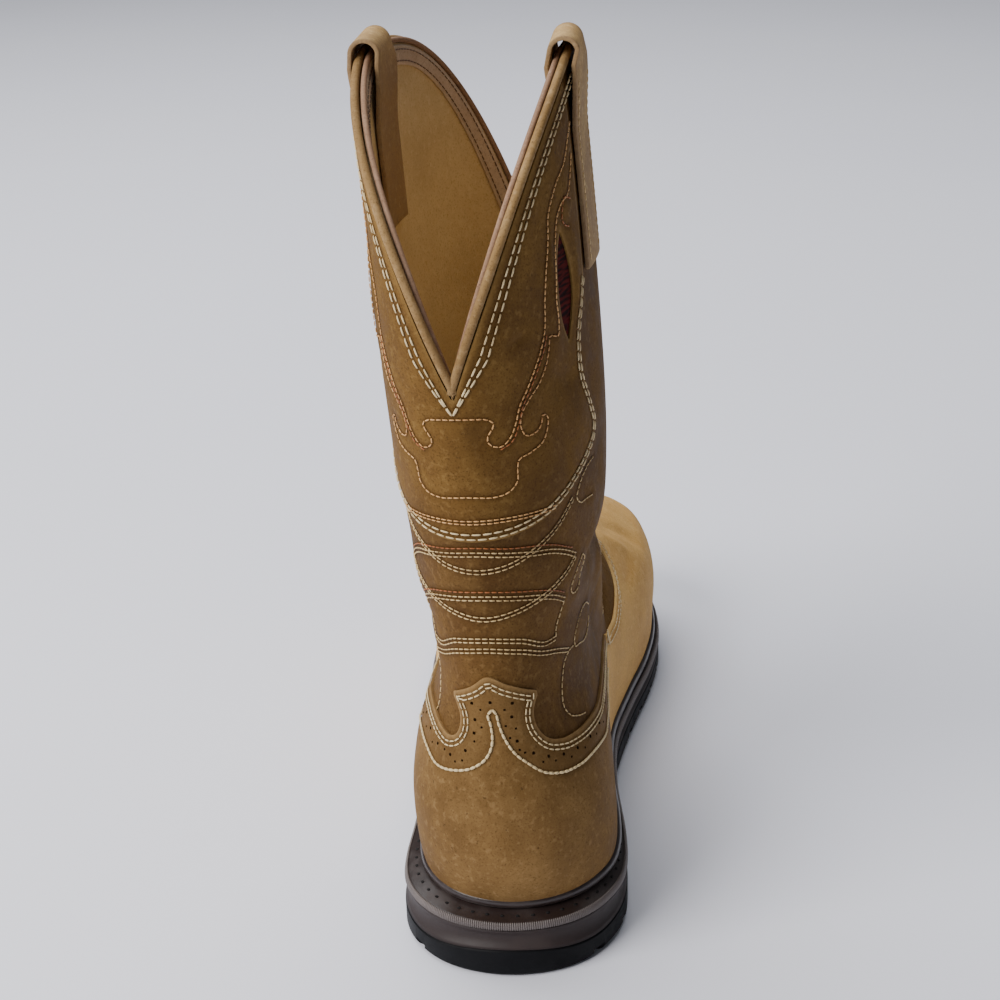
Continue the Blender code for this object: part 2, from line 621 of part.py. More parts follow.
# Pull straps: a leather strip folded over each ear, sewn down outside and inside.
STRAP_THICK = 2.0
STRAP_LOOP = 4.6        # inner radius of the fold over the binding
STRAP_FOLD_Z = EAR_HEIGHT + 0.8
STRAP_LEG_TOP = EAR_HEIGHT - 3.0
STRAP_END_OUT = 249.0
STRAP_END_IN = 262.0
STRAP_ANGLE = 90.0
STRAP_HALF_ANGLE = 10.0  # of the shaft's turn, taken up by half of the strap's width
STRAP_SWELL = 24.0       # below the leg's top, where it starts to stand off the wall
STRAP_STATIONS = 5
LEG_STEPS = 6
FOLD_STEPS = 8
strap_leather = material("strap_leather", (0.20, 0.115, 0.045), 0.65)


def strap_path(end):
    """Heights down one leg of a strap and how far the fold stands off the wall there."""
    heights = np.linspace(end, STRAP_LEG_TOP, LEG_STEPS + 1)
    stand_off = np.clip((heights - STRAP_LEG_TOP) / STRAP_SWELL + 1, 0, 1)
    return heights, stand_off * stand_off * (3 - 2 * stand_off)


def strap_solid(name, side):
    ear = side * STRAP_ANGLE
    angles = np.linspace(ear - side * STRAP_HALF_ANGLE, ear + side * STRAP_HALF_ANGLE, STRAP_STATIONS)
    crown = upper_face(ear, STRAP_FOLD_Z) - 0.5 * WALL * upper_normal(ear, STRAP_FOLD_Z)
    close = 0.5 * WALL + GAP
    legs = []
    for end, sign in ((STRAP_END_OUT, 1.0), (STRAP_END_IN, -1.0)):
        heights, swell = strap_path(end)
        leg = []
        for height, share in zip(heights, swell):
            face = upper_face(angles, np.full(STRAP_STATIONS, height))
            normal = upper_normal(angles, np.full(STRAP_STATIONS, height))
            middle = face - 0.5 * WALL * normal
            off = close + (STRAP_LOOP - close) * share
            leg.append((middle + sign * off * normal, middle + sign * (off + STRAP_THICK) * normal))
        legs.append(leg)
    y = legs[0][-1][0][:, 1]
    fold = []
    for turn in np.linspace(0, np.pi, FOLD_STEPS + 1)[1:-1]:
        arms = []
        for radius in (STRAP_LOOP, STRAP_LOOP + STRAP_THICK):
            x = np.full(STRAP_STATIONS, crown[0] + side * radius * np.cos(turn))
            z = np.full(STRAP_STATIONS, STRAP_FOLD_Z + radius * np.sin(turn))
            arms.append(np.stack([x, y, z], -1))
        fold.append(arms)
    stations = legs[0] + fold + legs[1][::-1]
    mesh_data = bmesh.new()
    loops = [ring(mesh_data, np.concatenate([a, b[::-1]])) for a, b in stations]
    bridge(mesh_data, loops)
    for loop in (loops[0], loops[-1]):
        bmesh.ops.contextual_create(mesh_data, geom=loop)
    return finish(name, mesh_data, strap_leather)


strap_solid("pull_strap_medial", 1.0)
strap_solid("pull_strap_lateral", -1.0)
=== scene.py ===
"""Looks of a left pull-on western work boot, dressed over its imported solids.

Metres, +Z up, +Y to the toe, +X to the medial side. Tables are in millimetres and degrees.
"""

import bmesh
import bpy
import numpy as np
from mathutils import Matrix, Vector, kdtree


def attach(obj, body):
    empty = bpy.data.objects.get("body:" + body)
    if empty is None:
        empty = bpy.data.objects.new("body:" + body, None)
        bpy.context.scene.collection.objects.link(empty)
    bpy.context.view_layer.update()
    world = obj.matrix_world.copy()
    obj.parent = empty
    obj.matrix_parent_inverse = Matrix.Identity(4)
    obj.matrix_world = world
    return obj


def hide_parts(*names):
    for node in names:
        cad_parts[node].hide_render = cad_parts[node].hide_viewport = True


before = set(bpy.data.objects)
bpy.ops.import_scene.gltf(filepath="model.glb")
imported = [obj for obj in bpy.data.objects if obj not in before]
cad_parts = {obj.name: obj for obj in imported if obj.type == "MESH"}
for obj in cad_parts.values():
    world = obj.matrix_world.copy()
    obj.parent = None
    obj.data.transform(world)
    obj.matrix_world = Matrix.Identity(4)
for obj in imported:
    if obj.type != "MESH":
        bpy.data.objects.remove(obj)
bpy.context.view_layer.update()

# Outsole: one moulding of black rubber with a heel, a hollow under the arch and cross lugs.
# It is cemented under the midsole, and its upper edge waves in low lobes round the heel.
MM = 0.001
HEEL_BACK = -39.0
TOE_TIP = 254.0
OUTLINE = [  # angle from the heel back, along, medial, lateral
    (0, HEEL_BACK, 0.0, 0.0),
    (25, -34.5, 17.0, 17.0),
    (50, -22.5, 29.5, 28.5),
    (75, -4.0, 36.0, 34.0),
    (95, 22.0, 35.5, 35.0),
    (108, 55.0, 32.0, 36.0),
    (120, 92.0, 31.5, 39.0),
    (132, 132.0, 37.5, 43.5),
    (143, 168.0, 44.5, 47.0),
    (152, 196.0, 47.0, 46.0),
    (160, 220.0, 44.5, 41.0),
    (168, 240.5, 36.5, 32.5),
    (174, 251.0, 23.0, 19.5),
    (180, TOE_TIP, 1.5, -1.5),
]
SOLE_COLUMNS = ("along", "floor", "outsole", "midsole", "feather")
SOLE = [
    (-55, 0.0, 10.0, 18.5, 25.0),
    (-20, 0.0, 10.0, 18.5, 25.0),
    (30, 0.0, 10.0, 18.0, 24.0),
    (90, 0.0, 9.0, 15.0, 20.0),
    (150, 0.0, 7.5, 12.5, 17.0),
    (195, 0.0, 7.5, 12.5, 17.5),
    (232, 4.0, 11.5, 16.5, 22.0),
    (266, 12.0, 18.0, 22.5, 28.5),
]
AROUND = np.linspace(-180, 180, 289)[:-1]
SOLE_REACH = [  # signed angle, outsole beyond the last
    (-180, 5.4), (-125, 5.6), (-105, 6.4), (-80, 8.0), (-55, 10.4), (-30, 11.3), (0, 11.0), (30, 10.5),
    (55, 8.4), (80, 5.9), (105, 4.8), (122, 4.2), (140, 4.6), (155, 5.0), (180, 5.4),
]
RUN_STEP = 1.5  # degrees either way that give the outline's direction
TREAD_BEVEL = 1.8
TOP_BEVEL = 0.5
LOBE_DEPTH = 1.4
LOBES = 4  # in a full turn
BELOW = -2.0  # where the cutters start, under the floor
ARCH_HOLLOW = [(36, BELOW), (39, 4.5), (45, 6.0), (75, 5.5), (96, 2.0), (106, BELOW)]  # along, height
GROOVE_HALF = 2.5
GROOVE_DEPTH = 3.2
GROOVES = [(-34, 0), (-14, 0), (8, 0), (118, 8), (138, 8), (158, 8), (178, 8), (198, 8)]  # along, turn
CUTTER_HALF = 90.0  # half the length of a cutter across the sole
SHARP_EDGE = 0.6  # radians between faces
MERGE = 1e-7  # metres within which points are one


def curve(x, xs, ys):
    """Smooth curve through the points of a table."""
    xs = np.asarray(xs, float)
    ys = np.asarray(ys, float)
    x = np.clip(np.asarray(x, float), xs[0], xs[-1])
    step = np.diff(xs)
    slope = np.diff(ys) / step
    tangent = np.empty_like(ys)
    tangent[1:-1] = (step[1:] * slope[:-1] + step[:-1] * slope[1:]) / (step[1:] + step[:-1])
    tangent[0] = slope[0]
    tangent[-1] = slope[-1]
    i = np.clip(np.searchsorted(xs, x, side="right") - 1, 0, len(step) - 1)
    t = (x - xs[i]) / step[i]
    start = (2 * t**3 - 3 * t**2 + 1) * ys[i] + (t**3 - 2 * t**2 + t) * step[i] * tangent[i]
    return start + (3 * t**2 - 2 * t**3) * ys[i + 1] + (t**3 - t**2) * step[i] * tangent[i + 1]


def sole_height(level, along):
    columns = dict(zip(SOLE_COLUMNS, zip(*SOLE)))
    return np.maximum(curve(along, columns["along"], columns[level]), 0)


def wrapped(angle):
    return (np.asarray(angle, float) + 180) % 360 - 180


def last_outline(angle):
    """Bottom of the last at a signed angle: 0 at the heel back, medial positive, 180 at the toe."""
    lateral = [(-a, y, -x) for a, y, _, x in OUTLINE[:0:-1]]
    medial = [(a, y, x) for a, y, x, _ in OUTLINE]
    turn = [(a - 360, y, x) for a, y, x in medial[-2:-1]] + lateral + medial
    turn += [(a + 360, y, x) for a, y, x in lateral[1:2]]
    angles, along, across = zip(*turn)
    return curve(wrapped(angle), angles, across), curve(wrapped(angle), angles, along)


def unit(rows):
    return rows / np.linalg.norm(rows, axis=-1, keepdims=True)


def sole_ring(offset, level, rise=0.0):
    """Ring round the sole, pushed out from the last by an offset and standing above one of its levels."""
    x, y = last_outline(AROUND)
    ahead = np.stack(last_outline(AROUND + RUN_STEP), -1)
    run = unit(ahead - np.stack(last_outline(AROUND - RUN_STEP), -1))
    y = y - run[:, 0] * offset
    return np.stack([x + run[:, 1] * offset, y, sole_height(level, y) + rise], -1)


def sheet(columns, rows):
    """Flat grid of faces with its points as arrays from 0 to 1."""
    skin = bmesh.new()
    bmesh.ops.create_grid(skin, x_segments=columns, y_segments=rows, size=0.5)
    flat = np.array([vert.co for vert in skin.verts]) + 0.5
    return skin, flat[:, 0], flat[:, 1]


def nth(share, count):
    """Whole number of steps in a share of a grid."""
    return np.round(share * count).astype(int)


def put(skin, points, **marks):
    """Move a skin's points, in millimetres, and keep values on them."""
    layers = {name: skin.verts.layers.float.new(name) for name in marks}
    for number, vert in enumerate(skin.verts):
        vert.co = points[number] * MM
        for name, layer in layers.items():
            vert[layer] = marks[name][number]
    bmesh.ops.remove_doubles(skin, verts=skin.verts, dist=MERGE)
    return skin


def hoop(rings, caps=False):
    """Skin through rings of points, closed round the boot; caps close its first and last ring.
    A last ring equal to the first closes the section."""
    stack = np.asarray(rings)
    across, around = len(stack) - 1, len(stack[0])
    skin, u, v = sheet(around, across)
    put(skin, stack[nth(v, across), nth(u, around) % around])
    if caps:
        ladder(skin, stack[0] * MM)
        ladder(skin, stack[-1] * MM)
        bmesh.ops.remove_doubles(skin, verts=skin.verts, dist=MERGE)
    bmesh.ops.recalc_face_normals(skin, faces=skin.faces)
    return skin


def ladder(skin, loop):
    """Rungs of faces across a sole-shaped loop, from its medial to its lateral side."""
    count = len(loop)
    verts = [skin.verts.new(point) for point in loop]
    middle = count // 2
    for k in range(1, middle):
        near, far = middle + k, middle - k
        corners = [verts[far + 1], verts[far], verts[near % count], verts[near - 1]]
        if near - 1 == far + 1:
            corners = corners[:3]
        skin.faces.new(corners)
    skin.faces.new([verts[0], verts[1], verts[count - 1]])


def as_mesh(name, skin):
    mesh = bpy.data.meshes.new(name)
    skin.to_mesh(mesh)
    skin.free()
    return mesh


def linked(name, data):
    made = bpy.data.objects.new(name, data)
    bpy.context.collection.objects.link(made)
    return made


def settle(name, mesh, finish, node=None):
    """Turn a skin or a mesh into a named piece that rides on the boot, in place of a solid's node."""
    if isinstance(mesh, bmesh.types.BMesh):
        mesh = as_mesh(name, mesh)
    mesh.materials.append(finish)
    mesh.shade_smooth()
    piece = linked(name, mesh)
    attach(piece, "root")
    if node:
        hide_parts(node)
    return piece


class Wire:
    """A node's output, with the maths that the finishes use."""

    def __init__(self, tree, socket=None):
        self.tree = tree
        self.socket = socket

    def node(self, kind, settings, sockets, out=0):
        """Add a node: its settings first, then the values or links of its sockets."""
        made = self.tree.nodes.new(kind)
        for key, value in settings.items():
            setattr(made, key, value)
        for key, value in sockets.items():
            if isinstance(value, Wire):
                self.tree.links.new(value.socket, made.inputs[key])
            else:
                made.inputs[key].default_value = value
        return Wire(self.tree, made.outputs[out])

    def maths(self, operation, a, b):
        return self.node("ShaderNodeMath", {"operation": operation}, {0: a, 1: b})

    def __add__(self, other):
        return self.maths("ADD", self, other)

    def __sub__(self, other):
        return self.maths("SUBTRACT", self, other)

    def __mul__(self, other):
        return self.maths("MULTIPLY", self, other)

    def __rsub__(self, other):
        return self.maths("SUBTRACT", other, self)

    __radd__ = __add__
    __rmul__ = __mul__

    def noise(self, scale, detail=2.0, rough=0.5, stretch=(1, 1, 1)):
        """Noise at a scale per metre on these coordinates."""
        place = self.node("ShaderNodeMapping", {}, {"Vector": self, "Scale": stretch})
        return self.node("ShaderNodeTexNoise", {}, {"Vector": place, "Scale": scale, "Detail": detail,
                                                    "Roughness": rough})

    def smooth(self, low, high):
        return self.node("ShaderNodeMapRange", {"interpolation_type": "SMOOTHSTEP"},
                         {"Value": self, "From Min": low, "From Max": high})

    def mark(self, name):
        """A value kept on the mesh's points."""
        return self.node("ShaderNodeAttribute", {"attribute_name": name}, {}, out=2)

    def mix(self, a, b):
        """Colour a where this is 0, b where it is 1: wires, or screen values from 0 to 255."""
        a, b = (end if isinstance(end, Wire) else paint(*end) for end in (a, b))
        return self.node("ShaderNodeMix", {"data_type": "RGBA"}, {0: self, 6: a, 7: b}, out=2)

    def bump(self, strength, depth):
        return self.node("ShaderNodeBump", {},
                         {"Strength": strength, "Distance": depth * MM, "Height": self})


def begin(name):
    """A new material, its shader and the object coordinates."""
    made = bpy.data.materials.new(name)
    made.use_nodes = True
    shader = made.node_tree.nodes["Principled BSDF"]
    return made, shader, Wire(made.node_tree).node("ShaderNodeTexCoord", {}, {}, out=3)


def wire_in(shader, **sockets):
    """Link wires to the shader's sockets, or set plain values on them."""
    for key, value in sockets.items():
        socket = shader.inputs[key.replace("_", " ")]
        if isinstance(value, Wire):
            value.tree.links.new(value.socket, socket)
        else:
            socket.default_value = value


def paint(red, green, blue):
    """A shader's colour from screen values."""
    share = np.array([red, green, blue]) / 255
    light = np.where(share <= 0.04045, share / 12.92, ((share + 0.055) / 1.055) ** 2.4)
    return (*light.tolist(), 1.0)


def rubber(name, dark, light, roughness, scuff, gloss=0.5):
    """Moulded rubber: a fine texture, dusty scuffs and a dull gloss."""
    made, shader, place = begin(name)
    dust = place.noise(60, 5, 0.65).smooth(0.45, 0.75)
    grit = place.noise(1400, 2, 0.6)
    wire_in(shader, Base_Color=(dust * scuff).mix(dark, light), Roughness=roughness + 0.25 * (dust - 0.3),
            Specular_IOR_Level=gloss, Normal=(grit + 2.0 * place.noise(220, 3)).bump(0.35, 0.12))
    return made


def carve(piece, profile, turn=0.0, along=0.0):
    """Cut a prism across the sole, given as along and height."""
    tool = bmesh.new()
    face = tool.faces.new([tool.verts.new((-CUTTER_HALF, y, z)) for y, z in profile])
    grown = bmesh.ops.extrude_face_region(tool, geom=[face])
    moved = [item for item in grown["geom"] if isinstance(item, bmesh.types.BMVert)]
    bmesh.ops.translate(tool, vec=(2 * CUTTER_HALF, 0, 0), verts=moved)
    turned = Matrix.Rotation(np.radians(turn), 3, "Z")
    bmesh.ops.rotate(tool, cent=(0, 0, 0), matrix=turned, verts=tool.verts)
    bmesh.ops.translate(tool, vec=(0, along, 0), verts=tool.verts)
    bmesh.ops.scale(tool, vec=(MM, MM, MM), verts=tool.verts)
    bmesh.ops.recalc_face_normals(tool, faces=tool.faces)
    cutter = linked("cutter", as_mesh("cutter", tool))
    step = piece.modifiers.new("cut", "BOOLEAN")
    step.operation = "DIFFERENCE"
    step.solver = "EXACT"
    step.object = cutter
    view = bpy.context.evaluated_depsgraph_get()
    carved = bpy.data.meshes.new_from_object(piece.evaluated_get(view))
    piece.modifiers.clear()
    piece.data = carved
    bpy.data.objects.remove(cutter, do_unlink=True)


reach = curve(AROUND, *zip(*SOLE_REACH))
rearward = np.clip(np.cos(np.radians(AROUND)), 0, 1)
lobes = LOBE_DEPTH * np.cos(LOBES * np.radians(AROUND)) * rearward
tread_rubber = rubber("tread_rubber", (8, 9, 12), (22, 22, 24), roughness=0.66, scuff=0.5, gloss=0.15)
outsole = settle("outsole_tread", hoop([
    sole_ring(reach - TREAD_BEVEL, "floor"),
    sole_ring(reach - 0.4 * TREAD_BEVEL, "floor", 0.4 * TREAD_BEVEL),
    sole_ring(reach, "floor", TREAD_BEVEL),
    sole_ring(reach, "outsole", lobes - TOP_BEVEL),
    sole_ring(reach - TOP_BEVEL, "outsole", lobes),
], caps=True), tread_rubber, "outsole")
carve(outsole, ARCH_HOLLOW)
groove = [(-GROOVE_HALF, BELOW), (-GROOVE_HALF, GROOVE_DEPTH),
          (GROOVE_HALF, GROOVE_DEPTH), (GROOVE_HALF, BELOW)]
for along, turn in GROOVES:
    carve(outsole, groove, turn, along)
outsole.data.set_sharp_from_angle(angle=SHARP_EDGE)

# Midsole: a taupe moulded unit with a hollow side and a ribbed lip on top.
# Its plateau stands inside the welt, under the upper.
GAP = 0.35
LIP_INSET = 0.4
LIP_BACK = 2.2
LIP_HEIGHT = 1.2
HOLLOW = 1.3
HOLLOW_ROUND = 0.8
FOOT_INSET = 0.2
taupe_rubber = rubber("taupe_rubber", (48, 39, 38), (68, 58, 56), roughness=0.6, scuff=0.5, gloss=0.3)
lip = reach - LIP_INSET - LIP_BACK * rearward**2


def midsole_side(share):
    """Ring at a share of the way up the midsole's hollow side, from its foot to its lip."""
    hollow = HOLLOW * np.sin(np.pi * share) ** HOLLOW_ROUND
    ring = sole_ring((reach - FOOT_INSET) * (1 - share) + lip * share - hollow, "outsole", lobes + GAP)
    top = sole_height("midsole", ring[:, 1]) - LIP_HEIGHT
    ring[:, 2] += (top - ring[:, 2]) * share
    return ring


settle("midsole_unit", hoop([midsole_side(share) for share in np.linspace(0, 1, 9)] + [
    sole_ring(lip + 0.2, "midsole", -0.6 * LIP_HEIGHT),
    sole_ring(lip + 0.1, "midsole", -0.2 * LIP_HEIGHT),
    sole_ring(lip - 0.2, "midsole"),
    sole_ring(-GAP, "midsole"),
    sole_ring(-GAP, "feather", -GAP),
], caps=True), taupe_rubber, "midsole")

# Welt: a dark flange sewn round the foot, with a rolled glossy bead against the leather.
# Pricked holes run round its top, where the thread goes down through it.
WALL = 2.6
FEATHER_HEIGHT = 25.0
FOOT_TOP = 82.0
FOOT_WIDTH = 100.0  # a loop's width when the last's outline keeps its own
SECTION_COLUMNS = ("back_z", "back_y", "wide_y", "front_y", "front_z", "width",
                   "back_x", "front_x", "rear_full", "front_full", "foot")
SECTIONS = [
    (25, -39.0, 2, 254.0, 28, 100.0, 0.5, 0.0, 1.00, 0.92, 1.00),
    (34, -43.5, 2, 259.0, 39, 101.5, 0.0, 0.0, 1.00, 0.92, 1.00),
    (46, -46.5, 4, 259.0, 52, 101.5, -0.8, 0.5, 1.00, 0.92, 1.00),
    (58, -47.0, 8, 251.0, 64, 96.5, -1.5, 1.0, 0.98, 0.94, 0.90),
    (70, -45.5, 14, 235.0, 73, 83.0, -2.2, 2.0, 0.96, 0.96, 0.62),
    (82, -42.0, 20, 209.0, 80, 69.5, -2.9, 3.0, 0.95, 1.00, 0.30),
    (94, -38.5, 25, 177.0, 88, 60.5, -3.5, 3.5, 0.95, 1.00, 0.10),
    (106, -36.5, 28, 146.0, 101, 57.0, -4.1, 4.0, 0.95, 1.00, 0.0),
    (118, -36.0, 28, 119.0, 118, 58.0, -4.5, 4.5, 0.95, 1.00, 0.0),
    (132, -36.5, 27, 99.0, 138, 62.0, -5.0, 4.8, 0.96, 1.00, 0.0),
    (150, -38.5, 25, 88.0, 158, 67.0, -6.1, 5.0, 0.98, 1.00, 0.0),
    (172, -41.5, 23, 85.0, 177, 70.0, -7.8, 5.0, 1.00, 1.00, 0.0),
    (195, -44.5, 22, 86.0, 196, 70.5, -9.2, 5.0, 1.00, 1.00, 0.0),
    (220, -47.0, 22, 89.0, 220, 70.5, -11.2, 4.2, 1.00, 1.00, 0.0),
    (270, -52.0, 22, 95.0, 270, 69.5, -13.5, 0.5, 1.00, 1.00, 0.0),
    (330, -57.0, 22, 100.0, 330, 68.0, -18.0, -4.0, 1.00, 1.00, 0.0),
]
UP = np.array([0.0, 0.0, 1.0])
WELT_EDGE = 2.6
WELT_INSET = 0.4
WELT_PROFILE = [  # out from the edge, up from the midsole
    (-0.1, 0.0), (0.35, 0.4), (0.5, 1.2), (0.3, 2.0), (-0.3, 2.5), (-1.0, WELT_EDGE),
]
BEAD_WIDE = 1.7  # half width and half height of the bead
BEAD_HIGH = 2.1
BEAD_SUNK = 0.3  # how far the bead lies inside the leather's face
BEAD_RISE = 0.7  # bead's middle above the feather line
BEAD_TURN = np.linspace(-1.9, np.pi + 0.2, 16)
CREVICE = 2.5  # bead's middle above the slit under it
CREVICE_OUT = 0.2
PRICK_PITCH = 5.6
PRICK_SIZE = (1.5, 1.3, 0.5)
PRICK_PLACE = 0.45  # share of the way from the flange's top edge to the slit
RIB_PITCH = 0.8
RIB_WIDTH = 0.95
RIB_LENGTH = 3.1
RIB_PLACE = (0.45, 1.4)  # out from the edge, up from the midsole
RIB_UPRIGHT = 0.95  # parts of a rib's run that go up and inwards
RIB_LEAN = 0.3


def upper_face(angle, height):
    """Outer face of the upper at a signed angle and a height measured at the back."""
    angle, height = np.broadcast_arrays(wrapped(angle), np.asarray(height, float))
    heights = [row[0] for row in SECTIONS]
    s = {name: curve(height, heights, column) for name, column in zip(SECTION_COLUMNS, zip(*SECTIONS))}
    turn = np.radians(np.abs(angle))
    cos, sin = np.cos(turn), np.abs(np.sin(turn))
    side = np.where(angle >= 0, 1.0, -1.0)
    rear = cos >= 0
    fullness = np.where(rear, s["rear_full"], s["front_full"])
    depth = np.where(rear, s["wide_y"] - s["back_y"], s["front_y"] - s["wide_y"])
    oval_y = s["wide_y"] - np.sign(cos) * depth * np.abs(cos) ** fullness
    oval_x = side * s["width"] / 2 * sin ** fullness
    foot_x, foot_y = last_outline(angle)
    share = (foot_y - HEEL_BACK) / (TOE_TIP - HEEL_BACK)
    foot_y = s["back_y"] + share * (s["front_y"] - s["back_y"])
    foot_x = foot_x * s["width"] / FOOT_WIDTH
    y = oval_y + (foot_y - oval_y) * s["foot"]
    x = oval_x + (foot_x - oval_x) * s["foot"]
    t = (y - s["back_y"]) / (s["front_y"] - s["back_y"])
    x = x + s["back_x"] + (s["front_x"] - s["back_x"]) * t
    z = height + (s["front_z"] - height) * t
    sag = np.clip((FOOT_TOP - height) / (FOOT_TOP - FEATHER_HEIGHT), 0, 1)
    toe_rise = SECTIONS[0][SECTION_COLUMNS.index("front_z")] - FEATHER_HEIGHT
    z = z + sag * (sole_height("feather", y) - FEATHER_HEIGHT - toe_rise * t)
    return np.stack([x, y, z], -1)


def upper_normal(angle, height):
    """Outward unit normal of the upper's outer face."""
    around = upper_face(angle + 0.5, height) - upper_face(angle - 0.5, height)
    low = np.maximum(height - 0.5, FEATHER_HEIGHT)
    up = upper_face(angle, low + 1.0) - upper_face(angle, low)
    return unit(np.cross(around, up))


def closed(loop):
    return np.concatenate([loop, loop[:1]])


def lengths(points):
    """Distance run along a line at each of its points."""
    return np.concatenate([[0], np.cumsum(np.linalg.norm(np.diff(points, axis=0), axis=1))])


def spaced(points, outward, pitch):
    """Spots at even steps along a line, each with its unit direction and its outward direction."""
    run = lengths(points)
    count = max(int(run[-1] / pitch), 1)
    at = (np.arange(count) + 0.5) * run[-1] / count

    def read(rows, shift=0.0):
        return np.stack([np.interp(at + shift, run, column) for column in rows.T], -1)

    along = read(points, 0.3 * pitch) - read(points, -0.3 * pitch)
    return read(points), unit(along), read(outward)


def studs(name, stud, spots, along, out, finish, slot):
    """Many copies of one small shape, given as along, sideways and outwards, joined in one mesh."""
    shape, faces = stud
    side = unit(np.cross(out, along))
    out = np.cross(along, side)
    points = spots[:, None] + np.einsum("ka,nab->nkb", shape, np.stack([along, side, out], 1))
    first = (np.arange(len(spots)) * len(shape))[:, None]
    corners = [row for face in faces for row in (np.asarray(face) + first).tolist()]
    mesh = bpy.data.meshes.new(name)
    mesh.from_pydata((points.reshape(-1, 3) * MM).tolist(), [], corners)
    settle(name, mesh, finish)


def pill(length, width, height, sides=6):
    """Points and faces of a low rounded bar."""
    rings = [  # place along, fullness, drop
        (-0.5, 0.30, -0.25), (-0.40, 0.82, -0.05), (0.0, 1.0, 0.0), (0.40, 0.82, -0.05), (0.5, 0.30, -0.25),
    ]
    turn = np.linspace(0, 2 * np.pi, sides, endpoint=False)
    points = [(a * length, 0.5 * width * f * np.cos(t), 0.5 * height * f * np.sin(t) + drop * height)
              for a, f, drop in rings for t in turn]
    last = (len(rings) - 1) * sides
    faces = [tuple(range(sides))[::-1], tuple(range(last, last + sides))]
    for first in range(0, last, sides):
        for i in range(sides):
            j = (i + 1) % sides
            faces.append((first + i, first + j, first + sides + j, first + sides + i))
    return np.array(points), faces


welt_rubber = rubber("welt_rubber", (44, 34, 32), (74, 63, 60), roughness=0.36, scuff=0.5)
away = unit(upper_normal(AROUND, FEATHER_HEIGHT) * [1, 1, 0])
bead_middle = upper_face(AROUND, FEATHER_HEIGHT) + (BEAD_WIDE - BEAD_SUNK) * away + BEAD_RISE * UP
bead = [bead_middle + BEAD_WIDE * np.cos(t) * away + BEAD_HIGH * np.sin(t) * UP for t in BEAD_TURN]
crevice = bead_middle + CREVICE_OUT * away - CREVICE * UP


def welt_ring(out, rise):
    """Ring on the flange, out from its edge and up from the midsole."""
    return sole_ring(lip - WELT_INSET + out, "midsole", GAP + rise)


welt_low = sole_ring(GAP, "midsole", GAP)
flange = [welt_ring(out, rise) for out, rise in WELT_PROFILE]
slope = [flange[-1] * (1 - share) + crevice * share for share in (0.3, 0.6, 0.9, 1.0)]
welt_rings = [welt_low] + flange + slope + bead + [welt_low]
settle("welt_strip", hoop(welt_rings), welt_rubber, "welt")

rib_rubber = rubber("rib_rubber", (98, 89, 86), (128, 119, 115), roughness=0.5, scuff=0.6)
rib_line = closed(welt_ring(*RIB_PLACE))
spots, along, _ = spaced(rib_line, UP + 0 * rib_line, RIB_PITCH)
outward = np.cross(along, UP)
studs("welt_ribs", pill(RIB_LENGTH, RIB_WIDTH, RIB_WIDTH), spots, RIB_UPRIGHT * UP - RIB_LEAN * outward,
      RIB_LEAN * UP + RIB_UPRIGHT * outward, rib_rubber, "welt_rubber")

# The welt's pricked holes are dark studs: painted shade for their insides.
hole_shade = rubber("hole_shade", (12, 9, 8), (20, 16, 14), roughness=0.9, scuff=0.2)
prick_line = closed((1 - PRICK_PLACE) * flange[-1] + PRICK_PLACE * crevice + 0.1 * UP)
studs("welt_pricks", pill(*PRICK_SIZE), *spaced(prick_line, UP + 0 * prick_line, PRICK_PITCH), hole_shade,
      "welt_rubber")

# Insole: a felted footbed on the plateau, inside the wall of the upper.
# It shows only down the shaft.
INSOLE_THICK = 4.0
INSOLE_INSET = WALL + 0.6


def felt(name, dark, light):
    """Felt or canvas: a fine weave of two threads, slightly faded."""
    made, shader, place = begin(name)
    fade = place.noise(25, 3, 0.5).smooth(0.35, 0.7)
    warp = place.noise(700, 1, 0.5, (1, 1, 0.2))
    weft = place.noise(700, 1, 0.5, (0.2, 0.2, 1))
    weave = warp + weft
    tone = (0.5 * fade + 0.35 * weave - 0.2).mix(dark, light)
    wire_in(shader, Base_Color=tone, Roughness=0.92, Normal=weave.bump(0.5, 0.25))
    return made


settle("footbed", hoop([
    sole_ring(-INSOLE_INSET, "feather"),
    sole_ring(-INSOLE_INSET, "feather", INSOLE_THICK - 1.0),
    sole_ring(-INSOLE_INSET - 0.4, "feather", INSOLE_THICK - 0.3),
    sole_ring(-INSOLE_INSET - 1.2, "feather", INSOLE_THICK),
], caps=True), felt("insole_felt", (84, 66, 44), (128, 104, 72)), "insole")

# Shaft and foot of the upper: one wall of waxed brown leather, lasted under at the feather line.
# Arched and wavy double rows of thin thread quilt it round the back and curl in leaves at the sides.
EAR_HEIGHT = 320.5
BACK_DIP = 217.0
FRONT_DIP = 236.0
EAR_ROUND = 6.0
BACK_BOW = 0.15
FRONT_BOW = 0.27
LEATHER = 1.3  # outer leather of the wall
STITCH_PULL = 0.32  # depth of the furrow that a row of stitches pulls
PULL_WIDTH = 1.3
ROW_GAP = 1.5  # between the two rows of a double seam
LOW_TOP = 60.0  # height that the wall's low, closer rows reach
LOW_SHARE = 0.08  # share of all its rows
FOLD_DARK = 2.2  # depth at which a fold's bottom gets its full painted shade
FOLD_START = 0.4  # share of that depth where painted shade in a fold, and painted highlight on a ridge, begin
# greatest painted highlight on the ridge of a crease
RIDGE_HIGHLIGHT = 0.8
SHADED_FROM = 110  # angle in front of which the medial fold gets painted shade
